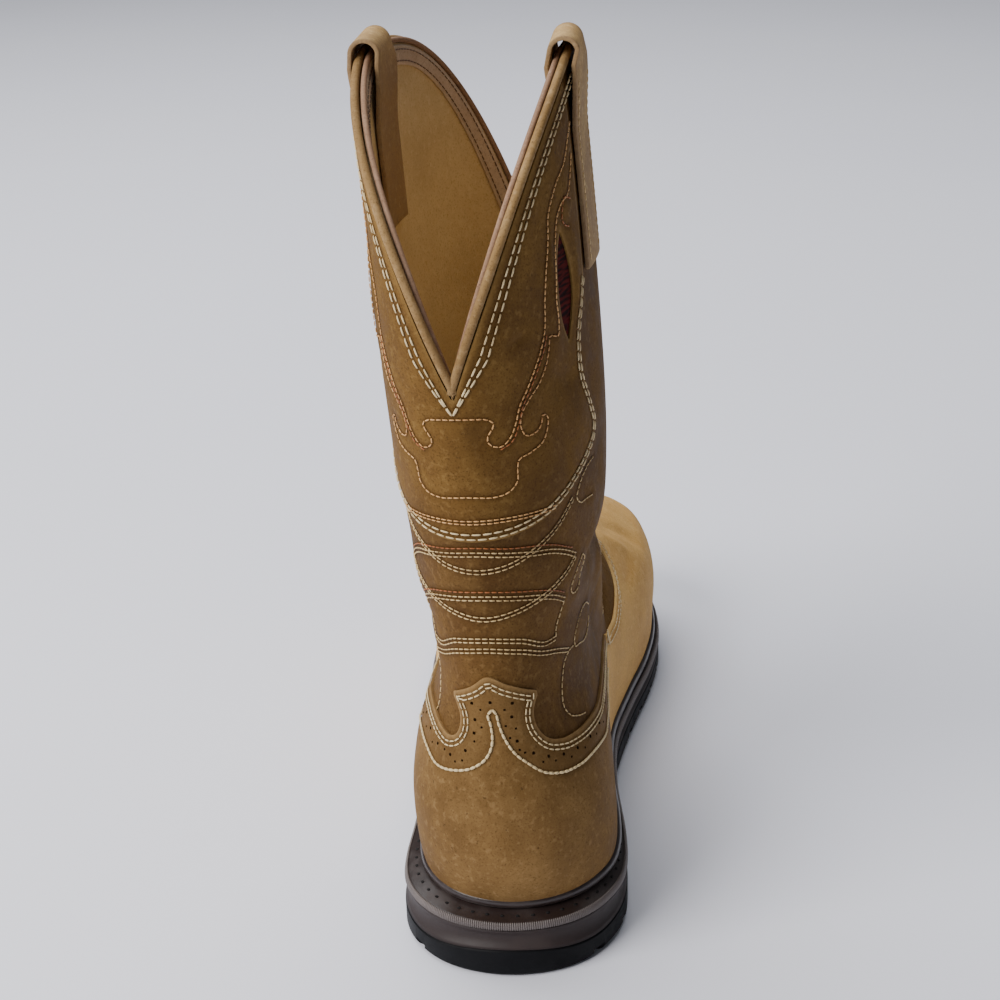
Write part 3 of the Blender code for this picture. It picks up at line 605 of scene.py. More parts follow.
# Creases of the leather: start and end as angle and height, depth outwards, half width in mm.
CREASES = [
    (100, 132, 116, 78, 3.6, 6.0),
    (129, 98, 124, 64, -4.6, 4.6),
    (137, 88, 130, 64, 1.4, 4.0),
    (-100, 132, -116, 78, 2.6, 6.0),
    (-129, 98, -124, 64, -4.0, 4.6),
    (40, 128, 92, 121, -1.1, 6.0),
    (-40, 130, -92, 124, -1.1, 6.0),
    (30, 141, 80, 146, 0.8, 8.0),
    (-30, 141, -80, 146, 0.8, 8.0),
    (150, 64, 210, 64, -1.1, 5.0),
    (153, 70, 207, 70, -0.9, 4.5),
    (134, 60, 146, 66, -0.9, 4.0),
    (150, 104, 210, 104, -1.2, 7.0),
    (8, 203, 12, 214, -0.5, 4.0),
    (48, 222, 66, 216, -0.9, 5.0),
    (54, 205, 70, 198, 0.8, 8.0),
    (4, 62, 30, 50, -0.4, 9.0),
    (-46, 106, -100, 99, -3.0, 15.0),
    (64, 138, 127, 134, -3.8, 8.0),
    (91, 122, 107, 80, -1.6, 4.0),
    (142, 84, 146, 61, 1.4, 4.0),
    (149, 80, 152.5, 59, -1.5, 4.0),
    (27, 238, 38, 241, -0.5, 1.6),
    (53.5, 270, 53.5, 230, 1.1, 3.4),
    (69, 266, 69, 234, 0.7, 3.4),
    (-53.5, 270, -53.5, 230, 1.1, 3.4),
    (-69, 266, -69, 234, 0.7, 3.4),
]
# Rows of thread on the wall, medial half from the middle of the back; the lateral half mirrors them.
WAVE_ROWS = [
    [(0, 165), (20, 163), (32, 160.5), (40, 158.5), (50, 154), (57, 149.5)],
    [(0, 158), (17, 159), (32, 162), (46, 166.5), (57, 173)],
    [(0, 147.5), (26, 144.5), (42, 139.5), (50, 135)],
    [(0, 139), (20, 140.5), (35, 142.5), (44, 144.5), (52, 147), (57, 149.5)],
    [(0, 130.5), (20, 128.5), (38, 122.7), (46, 122)],
    [(0, 126.5), (20, 124.3), (36, 119.7), (46, 117), (58, 112.5)],
]
RUST_ROWS = [
    [(0, 167.6), (20, 165.6), (40, 161.2), (55, 153.5)],
    [(0, 150.1), (26, 147.1), (42, 142.2), (49, 138.5)],
]
LEAF_ROWS = [
    [(103, 128), (109, 115), (114, 102), (115.5, 92), (113, 83)],
    [(50, 135), (48, 130), (46, 125), (46, 122)],
    [(63, 147), (58, 142), (55, 137.5), (58, 133.7), (63, 132.7), (66, 136), (67.5, 142), (63, 147)],
    [(86, 116), (80, 119.5), (74, 120), (68, 118), (64, 114), (65, 111), (71, 109), (80, 106.5), (86, 107.5),
     (88, 111)],
    [(63, 112), (58, 112), (54, 110), (52, 106), (50.5, 101), (51, 94.5), (55, 90.5), (61, 88), (70, 85.5)],
    [(75, 181), (68, 180), (62, 176), (59.5, 172), (62, 168.5), (67, 167.5), (73, 166)],
]


def collar_height(angle):
    """Height of the collar's edge: ears at the sides, a V behind and a V in front."""
    turn = np.abs(wrapped(angle))
    rear = turn <= 90
    t = np.where(rear, turn, 180 - turn) / 90
    dip = np.where(rear, BACK_DIP, FRONT_DIP)
    bow = np.where(rear, BACK_BOW, FRONT_BOW)
    drop = (1 - t - bow * np.sin(np.pi * t)) * (EAR_HEIGHT - dip)
    return EAR_HEIGHT - np.sqrt(drop * drop + EAR_ROUND**2) + EAR_ROUND


def creased(angle, height):
    """How far the creases push the leather in or out."""
    face = upper_face(angle, height)
    total = np.zeros(face.shape[:-1])
    share = np.linspace(0, 1, 25)
    for start_angle, start_height, end_angle, end_height, depth, half in CREASES:
        line = upper_face(start_angle + (end_angle - start_angle) * share,
                          start_height + (end_height - start_height) * share)
        near = np.full(total.shape, np.inf)
        taper = np.zeros(total.shape)
        for point, t in zip(line, share):
            far = np.sum((face - point) ** 2, -1)
            closer = far < near
            near = np.where(closer, far, near)
            taper = np.where(closer, np.sin(np.pi * (0.08 + 0.84 * t)), taper)
        total += depth * taper * np.exp(-near / (half * half))
    return total


def on_boot(angle, height, lift):
    """A point on the creased leather, lifted off it."""
    angle = np.asarray(angle, float)
    height = np.asarray(height, float)
    push = np.asarray(lift + creased(angle, height))
    return upper_face(angle, height) + push[..., None] * upper_normal(angle, height)


def mirrored(route):
    return [(-angle, height) for angle, height in route[::-1]]


def both_ways(route):
    """A half row from the middle of the back, joined to its mirror image."""
    return mirrored(route)[:-1] + list(route)


def drawn(route, step=0.8):
    """Smooth line through given angles and heights, as dense arrays of both."""
    angle, height = np.array(route, float).T
    run = lengths(upper_face(angle, height))
    at = np.linspace(0, run[-1], max(int(run[-1] / step), 2))
    return np.stack([curve(at, run, angle), curve(at, run, height)], -1)


def both_sides(rows):
    """Lines for rows of the medial side and for their mirror images."""
    return [drawn(row) for row in rows] + [drawn(mirrored(row)) for row in rows]


def beside(line, distance):
    """The same line moved sideways over the leather, to the left of its run, seen from outside."""
    angle, height = line.T
    around = upper_face(angle + 0.5, height) - upper_face(angle - 0.5, height)
    up = upper_face(angle, height + 0.5) - upper_face(angle, height - 0.5)
    run = np.gradient(upper_face(angle, height), axis=0)
    side = distance * unit(np.cross(upper_normal(angle, height), run))
    basis = np.stack([around, up], -1)
    square = np.einsum("nka,nkb->nab", basis, basis)
    target = np.einsum("nka,nk->na", basis, side)
    return line + np.linalg.solve(square, target[..., None])[..., 0]


def doubled(line, gap=ROW_GAP):
    return [beside(line, gap / 2), beside(line, -gap / 2)]


def stitched(name, rows, pitch, stitch, finish, slot):
    """Rows of separate stitches along lines of points that come with their outward directions."""
    steps = [spaced(points, outward, pitch) for points, outward in rows]
    studs(name, stitch, *map(np.concatenate, zip(*steps)), finish, slot)


def sewn(name, lines, finish, slot, lift, pitch, thick, fill=0.84):
    """Rows of separate stitches along lines over the leather."""
    rows = [(on_boot(*line.T, lift), upper_normal(*line.T)) for line in lines]
    stitched(name, rows, pitch, pill(fill * pitch, thick, 0.8 * thick), finish, slot)


def finder(dots):
    """Tree that finds the nearest of many dots."""
    tree = kdtree.KDTree(len(dots))
    for number, dot in enumerate(dots):
        tree.insert(dot, number)
    tree.balance()
    return tree


def pulled(points, lines, lift):
    """Depth of the furrows that rows of stitches pull into the leather at these points."""
    tree = finder(np.concatenate([on_boot(*line.T, lift) for line in lines]))
    far = np.array([tree.find(point)[2] for point in points])
    return np.exp(-((far / PULL_WIDTH) ** 2))


def thread(name, dark, light):
    """Twisted polyester thread with a faint sheen."""
    made, shader, place = begin(name)
    twist = place.noise(1800, 1, 0.5)
    thread_soil_and_fold_shade = place.noise(70, 3, 0.6).smooth(0.4, 0.75)
    wire_in(shader, Base_Color=(0.55 * thread_soil_and_fold_shade + 0.25 * twist).mix(light, dark), Roughness=0.55,
            Normal=twist.bump(0.5, 0.15))
    return made


def leather(name, deep, body, pale, specks=0.0):
    """Waxed nubuck: cloudy colour, a fine nap, dirt along seams, darker marked patches, paler rubbed edges,
    painted highlight on crease ridges and painted shade in deep folds.
    """
    made, shader, place = begin(name)
    cloud = place.noise(17, 3, 0.55).smooth(0.3, 0.65)
    mottle = place.noise(75, 4, 0.65).smooth(0.38, 0.72)
    nap = place.noise(1300, 3, 0.7)
    grain = place.noise(420, 3, 0.6)
    tone = (0.4 + 0.6 * cloud).mix(deep, body)
    tone = (0.3 * mottle).mix(tone, pale)
    tone = (0.7 * nap.smooth(0.48, 0.72)).mix(tone, deep)
    tone = (0.35 * grain.smooth(0.52, 0.7)).mix(tone, pale)
    dirt = place.noise(560, 2, 0.5).smooth(0.67, 0.75)
    tone = (specks * dirt).mix(tone, (48, 30, 12))
    tone = (0.5 * place.mark("seam")).mix(tone, deep)
    # Pale wear on rubbed cut edges, with painted highlight on the ridges of creases.
    rubbed = place.mark("edge") * (0.5 + grain)
    tone = (0.6 * rubbed).mix(tone, pale)
    # Painted shade in the bottoms of deep folds.
    tone = (0.65 * place.mark("fold")).mix(tone, (38, 23, 9))
    wire_in(shader, Base_Color=tone, Roughness=0.66 + 0.25 * mottle, Specular_IOR_Level=0.1,
            Normal=(0.6 * nap + grain + 1.5 * place.noise(150, 3, 0.6)).bump(0.3, 0.3))
    return made


def thicken(piece, thickness, rounding=0.0):
    """Give a sheet its thickness inwards, and round its cut edges."""
    wall = piece.modifiers.new("thickness", "SOLIDIFY")
    wall.thickness = thickness * MM
    wall.offset = -1
    if rounding:
        soft = piece.modifiers.new("edges", "BEVEL")
        soft.width = rounding * MM
        soft.segments = 2
        soft.limit_method = "ANGLE"
        soft.angle_limit = 1.0


cream_thread = thread("cream_thread", (170, 138, 86), (232, 210, 162))
straw_thread = thread("straw_thread", (150, 116, 66), (222, 192, 136))
rust_thread = thread("rust_thread", (112, 58, 20), (172, 100, 46))
wave_lines = both_sides(LEAF_ROWS)
for row in WAVE_ROWS:
    wave_lines += doubled(drawn(both_ways(row)))
rust_lines = [drawn(both_ways(row)) for row in RUST_ROWS]
skin, u, v = sheet(300, 165)
angle = 360 * u - 180
low = FEATHER_HEIGHT + (LOW_TOP - FEATHER_HEIGHT) * v / LOW_SHARE
high = LOW_TOP + (collar_height(angle) - LOW_TOP) * (v - LOW_SHARE) / (1 - LOW_SHARE)
height = np.where(v < LOW_SHARE, low, high)
points = on_boot(angle, height, 0)
furrow = pulled(points, wave_lines + rust_lines, 0)
points -= (STITCH_PULL * furrow)[:, None] * upper_normal(angle, height)
shaft_leather = leather("shaft_leather", (62, 39, 13), (103, 73, 35), (138, 108, 66), specks=0.4)
# Painted shade darkens the bottoms of the medial folds, and painted highlight pales the ridges of the
# creases.
push = creased(angle, height) / FOLD_DARK
thread_soil_and_fold_shade = np.clip(-push - FOLD_START, 0, 1) * (angle > SHADED_FROM)
wall = put(skin, points, seam=furrow, edge=np.clip(push - FOLD_START, 0, RIDGE_HIGHLIGHT), fold=thread_soil_and_fold_shade)
thicken(settle("shaft_wall", wall, shaft_leather, "upper"), LEATHER)
sewn("shaft_stitches", wave_lines, straw_thread, "shaft_leather", lift=0.1, pitch=2.4, thick=0.58)
sewn("shaft_stitches_rust", rust_lines, rust_thread, "shaft_leather", lift=0.1, pitch=2.3, thick=0.55)

# Lining: soft tan leather inside the shaft, with a brown facing strip sewn round under the collar.
# Both are glued to the wall and turned up into the collar's binding.
LINING = 1.0
LINING_FOOT = 30.0
FACING_WIDTH = 7.5
FACING_TOP = 0.6  # facing's upper edge below the rim
FACING_THICK = 0.6
FACING_ROWS = (2.2, 6.1)
skin, u, v = sheet(200, 90)
angle = 180 - 360 * u
height = LINING_FOOT + (collar_height(angle) - LINING_FOOT) * v
lining_leather = leather("lining_leather", (180, 152, 106), (216, 190, 144), (230, 208, 164))
lining = put(skin, on_boot(angle, height, -WALL))
thicken(settle("lining", lining, lining_leather), LINING)

turn = np.linspace(-180, 180, 361)
rim_line = np.stack([turn, collar_height(turn)], -1)


def band(line_low, line_high, rows, lift, crown):
    """Strip over the boot between two lines of angles and heights, swelling a little in its middle."""
    columns = len(line_low) - 1
    skin, u, v = sheet(columns, rows)
    place = nth(u, columns)
    spot = line_low[place] * (1 - v)[:, None] + line_high[place] * v[:, None]
    swell = crown * (1 - (2 * v - 1) ** 2)
    rubbed = np.abs(2 * v - 1) ** 6
    return put(skin, on_boot(*spot.T, lift + swell), edge=rubbed)


# The facing is made paler than its own leather to make up for the shade inside the collar: painted light. The
# inner roll's rosy leather is the same leather at its lit tone.
facing_leather = leather("facing_leather", (154, 130, 110), (202, 177, 153), (220, 199, 176), specks=0.3)
facing = band(beside(rim_line, -FACING_WIDTH), beside(rim_line, -FACING_TOP), 8, -WALL - 0.7, -0.25)
thicken(settle("collar_facing", facing, facing_leather), -FACING_THICK)
facing_rows = [beside(rim_line, -distance) for distance in FACING_ROWS]
brown_thread = thread("brown_thread", (70, 50, 36), (120, 94, 72))
sewn("facing_stitches", facing_rows, brown_thread, "binding_leather", lift=-WALL - 1.1, pitch=2.4, thick=0.5)

# Heel counter: a stiff scalloped overlay of tan leather round the heel, cut with a raw pale edge.
# Two thin rows follow its edge, and a thick corded row loops below them with pinholes between.
OVERLAY = 1.1  # leather of an overlay
FOOT_LIFT = 1.4  # outer face of counter and vamp above the wall
SIDE_JOIN = [(24, 114.5), (45, 116), (58, 117.5), (68, 118)]  # height, angle
JOIN_GAP = 0.25
TAB_DARKENING = 0.7  # how much darker the leather is between the cord and the scallop
EDGE_DIP = 0.35  # how far and how wide an overlay dips at its cut edge
EDGE_WIDTH = 0.9
EDGE_WEAR = 0.7  # width of the pale wear along it
EDGE_CLEAN = 0.6  # no thread's soil nearer to it than this
EDGE_ROUND = 0.25
MITRE = 0.8  # share of its distance that an inset row keeps at corners
FINE_STEP = 0.5
COUNTER_GRID = (240, 90)
COUNTER_DEGREE = 1.2  # millimetres in one degree round the counter
COUNTER_ROWS = (2.1, 3.7)
ROOF = [(-28.5, 107), (-12, 112), (-1, 116.3), (11, 113), (31.5, 107)]
SCALLOP = [(31.5, 107), (28, 103.5), (26.5, 100), (28, 94.5), (34, 89.3), (43, 86.5), (55, 84.7), (72, 83),
           (90, 80.5), (103, 77), (112, 72.5), (118, 68)]
SCALLOP_LATERAL = [(-28.5, 107), (-24.5, 104), (-21.5, 100), (-22, 95.5), (-25.5, 92), (-31, 90.5),
                   (-38, 91), (-48, 92.5), (-60, 92.5), (-75, 90), (-90, 85.5), (-103, 78.5), (-112, 73),
                   (-118, 68)]
CORD = [(1, 104.3), (2.6, 103), (4, 99), (7, 93.3), (12, 88), (19, 83.7), (28, 79), (38, 76.5), (51, 75),
        (69, 74), (90, 70), (104, 65.5), (115, 60)]
CORD_LATERAL = [(1, 104.3), (-1.4, 102.5), (-0.6, 99), (0, 95), (-0.6, 91), (-4, 86.7), (-12, 82.8),
                (-24, 80), (-37, 78.5), (-52, 80.5), (-66, 81), (-80, 78.5), (-92, 73.5), (-104, 67),
                (-115, 60)]
PINS = [(0, 107), (13, 106), (-11.5, 106), (-10, 100), (12, 101), (-11, 95), (14, 92), (-17, 88),
        (23, 86.5), (-28, 84.5), (32, 83.5), (42, 81.5), (-40, 85), (53, 80), (-51, 86.5), (66, 79),
        (-65, 86.5), (80, 77.5), (-79, 84), (94, 74.5), (-93, 79.5), (106, 70), (-105, 72.5)]
PRICKS = [(8, 104), (-6, 104), (-6, 97.5), (8, 98), (14, 96.5), (-11, 92), (10, 93.5), (15, 88.8),
          (-19, 84.3), (18, 87.5), (28, 82.5), (36, 81), (-33, 85), (-24, 83), (47, 79), (-46, 83.5),
          (59, 78), (-58, 84.5), (73, 77), (-72, 83.5), (87, 74.5), (-86, 79.5), (100, 71.5), (-99, 73.5)]


def inside(points, loop):
    """Which points lie within a closed loop, by counting crossings."""
    x, y = points.T
    odd = np.zeros(len(points), bool)
    for (x0, y0), (x1, y1) in zip(loop, np.roll(loop, -1, axis=0)):
        if y0 != y1:
            odd ^= ((y0 > y) != (y1 > y)) & (x < (x1 - x0) * (y - y0) / (y1 - y0) + x0)
    return odd


def cut_out(outline, grid, degree, holes=()):
    """Flat panel in angle and height, trimmed to its outline, with each point's distance from the edge.
    degree is the millimetres in one degree."""
    skin, u, v = sheet(*grid)
    low, high = outline.min(0), outline.max(0)
    flat = low + (high - low) * np.stack([u, v], -1)
    keep = inside(flat, outline)
    for hole in holes:
        keep &= ~inside(flat, hole)
    for number, vert in enumerate(skin.verts):
        vert.co = (*flat[number], 0)
        vert.index = number
    spare = [face for face in skin.faces if not all(keep[vert.index] for vert in face.verts)]
    bmesh.ops.delete(skin, geom=spare, context="FACES")
    share = np.linspace(0, 1, 12, endpoint=False)[:, None]
    border = np.concatenate([a + (b - a) * share for loop in (outline, *holes)
                             for a, b in zip(loop, np.roll(loop, -1, axis=0))])
    tree = finder([(a * degree, h, 0) for a, h in border])
    far = []
    for vert in skin.verts:
        _, number, distance = tree.find((vert.co.x * degree, vert.co.y, 0))
        if vert.is_boundary:
            vert.co = (*border[number], 0)
            distance = 0.0
        far.append(distance)
    spots = np.array([vert.co for vert in skin.verts])
    return skin, spots[:, 0], spots[:, 1], np.array(far)


def overlay(name, trimmed, lift, lines, finish, node, shade=0.0):
    """Sewn-on panel: laid over the leather, furrowed by its rows and dipping at its cut edge."""
    skin, angle, height, far = trimmed
    points = on_boot(angle, height, lift)
    furrow = pulled(points, lines, lift)
    dip = EDGE_DIP * np.exp(-((far / EDGE_WIDTH) ** 2)) + STITCH_PULL * furrow
    points -= dip[:, None] * upper_normal(angle, height)
    seam = np.maximum(furrow * (far > EDGE_CLEAN), shade)
    marked = put(skin, points, seam=seam, edge=np.exp(-far / EDGE_WEAR))
    thicken(settle(name, marked, finish, node), OVERLAY, EDGE_ROUND)


def joined(*routes):
    """One line drawn through several routes, each starting where the one before ends."""
    lines = [drawn(route, FINE_STEP) for route in routes]
    return np.concatenate(lines[:1] + [line[1:] for line in lines[1:]])


def side_join(gap):
    """Line where counter and vamp meet at the side, from the sole up, moved along by a gap."""
    return np.array([(angle + gap, height) for height, angle in SIDE_JOIN])


def inset(line, distance):
    """Line run inside a cut edge, mitred at its corners."""
    edge_points = upper_face(*line.T)
    moved = beside(line, -distance)
    gap = np.array([np.linalg.norm(edge_points - point, axis=1).min() for point in upper_face(*moved.T)])
    return moved[gap > MITRE * distance]


counter_edge = joined(SCALLOP_LATERAL[::-1], ROOF, SCALLOP)
joint = side_join(-JOIN_GAP)
counter_sides = [joint[::-1][1:], joint[:-1] * [-1, 1]]
counter_outline = np.concatenate([counter_edge[::3], counter_edge[-1:]] + counter_sides)
counter_rows = [inset(counter_edge, distance) for distance in COUNTER_ROWS]
cord_lines = [joined(CORD_LATERAL[::-1], CORD)]
counter_leather = leather("counter_leather", (86, 61, 29), (127, 96, 55), (158, 127, 84), specks=0.5)
trimmed = cut_out(counter_outline, COUNTER_GRID, COUNTER_DEGREE)
above_cord = inside(np.stack(trimmed[1:3], -1), np.concatenate([cord_lines[0], counter_edge[::-1]]))
overlay("counter_panel", trimmed, FOOT_LIFT, counter_rows + cord_lines, counter_leather,
        "heel_counter", TAB_DARKENING * above_cord)
sewn("counter_stitches", counter_rows, cream_thread, "tan_leather",
     lift=FOOT_LIFT + 0.1, pitch=2.8, thick=0.62)
sewn("counter_cord", cord_lines, cream_thread, "tan_leather",
     lift=FOOT_LIFT + 0.25, pitch=2.4, thick=1.05, fill=0.98)
# Pinholes and pricks are dark studs in place of holes: painted shade for their insides.
pinhole_shade = rubber("pinhole_shade", (26, 15, 6), (40, 25, 12), roughness=0.9, scuff=0.2, gloss=0.0)
for name, table, size in (("counter_pinholes", PINS, 1.15), ("counter_pricks", PRICKS, 0.8)):
    angle, height = np.array(table, float).T
    spots = on_boot(angle, height, FOOT_LIFT + 0.03)
    out = upper_normal(angle, height)
    studs(name, pill(size, size, 0.3), spots, unit(np.cross(out, UP)), out, pinhole_shade, "tan_leather")

# Vamp: tan leather over the toe, rising in a tongue up the front, sewn down by a double row.
# A short bar of thread locks it to the counter at each side.
VAMP_TOP = [(118, 68), (121.5, 64), (126, 62), (130, 65), (133.5, 71.5), (137, 81), (140.5, 93), (145, 110),
            (151, 127.5), (160, 141), (171, 148), (180, 150.5)]
VAMP_GRID = (250, 125)
VAMP_DEGREE = 3.0  # millimetres in one degree round the toe
VAMP_ROWS = (1.8, 4.2)
BAR_TACK = [(117, 70), (120.5, 62)]
TACK_SHIFTS = (-1.0, 0.0, 1.0)
vamp_edge = drawn(VAMP_TOP + [(360 - a, h) for a, h in VAMP_TOP[-2::-1]])
joint = side_join(JOIN_GAP)
vamp_sides = [([360, 0] + joint[::-1] * [-1, 1])[1:], joint[:-1]]
vamp_outline = np.concatenate([vamp_edge[::2], vamp_edge[-1:]] + vamp_sides)
vamp_rows = [inset(vamp_edge, distance) for distance in VAMP_ROWS]
vamp_leather = leather("vamp_leather", (174, 128, 66), (217, 171, 102), (234, 196, 132), specks=0.3)
trimmed = cut_out(vamp_outline, VAMP_GRID, VAMP_DEGREE)
overlay("vamp_panel", trimmed, FOOT_LIFT, vamp_rows, vamp_leather, "vamp")
sewn("vamp_stitches", vamp_rows, cream_thread, "tan_leather", lift=FOOT_LIFT + 0.1, pitch=2.6, thick=0.65)
tack = drawn(BAR_TACK, step=0.4)
tacks = [beside(tack, shift) for shift in TACK_SHIFTS]
tacks += [line * [-1, 1] for line in tacks]
sewn("bar_tacks", tacks, cream_thread, "tan_leather", lift=FOOT_LIFT + 0.4, pitch=1.1, thick=0.9)

# Back yoke: a shield of brown leather below the collar's V, with an almond window at each side.
# Bold double rows hem it, and thin strands curl over it in a scroll.
YOKE_LIFT = 1.5
YOKE_SIDE = [(76, 248), (70, 235), (68.5, 226), (69, 217), (73, 205), (75.5, 197), (74, 191), (67, 185),
             (58, 180), (44, 174.5), (26, 171.5), (0, 170.5)]
YOKE_TOP_GAP = 1.0
YOKE_HALF = 76  # angle of its upper corners
YOKE_GRID = (170, 150)
YOKE_DEGREE = 0.92  # millimetres in one degree round the yoke
HEM_ROWS = (1.3, 3.2)
VEE_ROWS = (4.0, 6.4)
VEE_SPAN = (82, 9)  # angles between which the rows run beside the collar
VEE_POINT = (-1.0, 217.4)
WINDOW_ANGLE = 61.0
WINDOW_MIDDLE = 250.0
WINDOW_HALF_HEIGHT = 19.0
WINDOW_HALF_ANGLE = 5.0
SCROLL = [  # medial strands of the scroll, mirrored on the lateral side
    [(0, 216.3), (9, 216), (15, 215.2), (17.5, 213.5), (16.5, 211.5), (14.5, 209.5), (14, 207.5), (16, 205.7),
     (20, 205), (24, 207), (28, 212), (30.5, 217), (35, 222), (39, 227), (44, 234), (46, 238), (48, 250),
     (49.5, 258), (52, 268), (54, 276), (60, 284), (68, 290), (73, 297), (76, 301)],
    [(74, 291), (72, 286), (68, 279), (63, 277.5), (60, 275), (56.5, 267), (54, 256), (53, 248), (53.5, 239),
     (53, 236), (49, 236.5), (48, 233), (46, 228), (42, 223), (35, 218), (31, 214), (30, 210), (32, 206.5),
     (36, 206), (40, 208), (41.5, 211), (43.5, 210), (43, 206), (40, 202), (34, 200), (27, 198.3), (26, 195),
     (25.5, 191.5), (22, 188.5), (14, 187.2), (6, 187.7), (0, 188)],
]
SCROLL_RUST = [
    [(19, 203.8), (25, 205.8), (29.5, 211.5), (32, 216.5), (36.5, 221.5), (40.5, 226.5), (45.5, 233.5),
     (47.5, 238)],
    [(70, 277), (65, 278.5), (63, 275), (62.5, 272), (64, 270), (67, 268.5)],
]
STAINS = [  # angle, height, size and strength of the yoke's dark smudges; the broad last one is painted shade
    (8.5, 213, 6.0, 0.9), (9.5, 203.5, 5.0, 0.7), (16, 198, 7.0, 0.5), (38, 190, 14.0, 0.55),
    (50, 215, 16.0, 0.3),
]
THIN_ARCH = [(0, 178.3), (16, 178), (30, 177), (44, 175.5)]
ARCH_GAP = 1.2
yoke_hem = drawn(both_ways(YOKE_SIDE[::-1]), step=1.5)
across = np.linspace(YOKE_HALF, -YOKE_HALF, 90)
collar_side = np.stack([across, collar_height(across) - YOKE_TOP_GAP], -1)
yoke_outline = np.concatenate([yoke_hem, collar_side])


def almond(side):
    """Outline of a window: two arcs that meet at its ends."""
    share = np.linspace(-1, 1, 17)
    half = WINDOW_HALF_ANGLE * (1 - share**2)
    heights = WINDOW_MIDDLE + WINDOW_HALF_HEIGHT * share
    front = np.stack([side * WINDOW_ANGLE + half, heights], -1)
    back = np.stack([side * WINDOW_ANGLE - half, heights], -1)
    return np.concatenate([front, back[-2:0:-1]])


bold_rows = [beside(yoke_hem, distance) for distance in HEM_ROWS]
for distance in VEE_ROWS:
    for side in (-1, 1):
        across = side * np.linspace(*VEE_SPAN, 90)
        half = beside(np.stack([across, collar_height(across)], -1), side * distance)
        end = drawn([tuple(half[-1]), VEE_POINT])
        bold_rows.append(np.concatenate([half, end[1:]]))
scroll_lines = both_sides(SCROLL) + doubled(drawn(both_ways(THIN_ARCH)), ARCH_GAP)
scroll_rust = both_sides(SCROLL_RUST)
copper_thread = thread("copper_thread", (160, 100, 50), (228, 178, 114))
yoke_leather = leather("yoke_leather", (70, 44, 14), (112, 81, 37), (146, 115, 66), specks=0.4)
trimmed = cut_out(yoke_outline, YOKE_GRID, YOKE_DEGREE, [almond(1), almond(-1)])
# Dark smudges on the yoke: stains, and painted shade from the broad last one.
stains_and_shade = sum(strength * np.exp(-(((trimmed[1] - a) * YOKE_DEGREE) ** 2 + (trimmed[2] - h) ** 2) / size**2)
              for a, h, size, strength in STAINS)
overlay("yoke_panel", trimmed, YOKE_LIFT, bold_rows + scroll_lines + scroll_rust, yoke_leather,
        "back_yoke", stains_and_shade)
sewn("yoke_bold_stitches", bold_rows, cream_thread, "yoke_leather",
     lift=YOKE_LIFT + 0.12, pitch=3.7, thick=0.74)
for name, lines, strand in (("yoke_stitches", scroll_lines, copper_thread),
                            ("yoke_stitches_rust", scroll_rust, rust_thread)):
    sewn(name, lines, strand, "yoke_leather", lift=YOKE_LIFT + 0.1, pitch=2.2, thick=0.55)

# Window inlays: maroon ribbed cloth sewn behind the almond openings of the yoke.
# The leather gapes over it, so it lies back against the wall.
INLAY_LIFT = 0.5
INLAY_THICK = 0.4
INLAY_GRID = (24, 60)


def ribbed_cloth(name, dark, light):
    """Ribbed woven tape with bands running across the window."""
    made, shader, place = begin(name)
    ribs = place.noise(900, 1, 0.4, (0.15, 0.15, 1))
    tone = ribs.smooth(0.35, 0.65).mix(dark, light)
    wire_in(shader, Base_Color=tone, Roughness=0.85, Specular_IOR_Level=0.1, Normal=ribs.bump(0.6, 0.3))
    return made


inlay_cloth = ribbed_cloth("inlay_cloth", (30, 6, 6), (84, 22, 18))
for side, place in ((1, "medial"), (-1, "lateral")):
    skin, angle, height, _ = cut_out(almond(side), INLAY_GRID, YOKE_DEGREE)
    cloth = put(skin, on_boot(angle, height, INLAY_LIFT))
    inlay = settle("inlay_cloth_" + place, cloth, inlay_cloth, "window_inlay_" + place)
    thicken(inlay, INLAY_THICK)

# Collar binding: two rolled leather edges round the collar, the wall's and the lining's.
# A dark slit is left between them.
ROLL_OUTER = (1.45, 1.55, 1.3)  # radius, out from the middle of the wall, rise above the rim
ROLL_INNER = (1.0, -1.4, 1.1)
binding_leather = leather("binding_leather", (100, 74, 42), (148, 117, 75), (182, 153, 112), specks=0.4)


def roll(radius, outward, rise):
    """Closed tube along the collar's edge."""
    line = rim_line[:-1]
    out = upper_normal(*line.T)
    middle = upper_face(*line.T) - 0.5 * WALL * out
    run = np.roll(middle, -1, axis=0) - np.roll(middle, 1, axis=0)
    up = unit(np.cross(out, run))
    up *= np.where(up[:, 2:] < 0, -1, 1)
    centre = middle + outward * out + rise * up
    turns = np.linspace(0, 2 * np.pi, 15)
    return hoop([centre + radius * (np.cos(t) * out + np.sin(t) * up) for t in turns])


settle("collar_roll_outer", roll(*ROLL_OUTER), binding_leather, "collar_binding")
# Rosy leather: the facing's leather at its lit tone; the facing's own copy is made paler as painted light for
# the shade it sits in.
rosy_leather = leather("rosy_leather", (112, 84, 64), (154, 122, 98), (180, 150, 126), specks=0.5)
settle("collar_roll_inner", roll(*ROLL_INNER), rosy_leather)

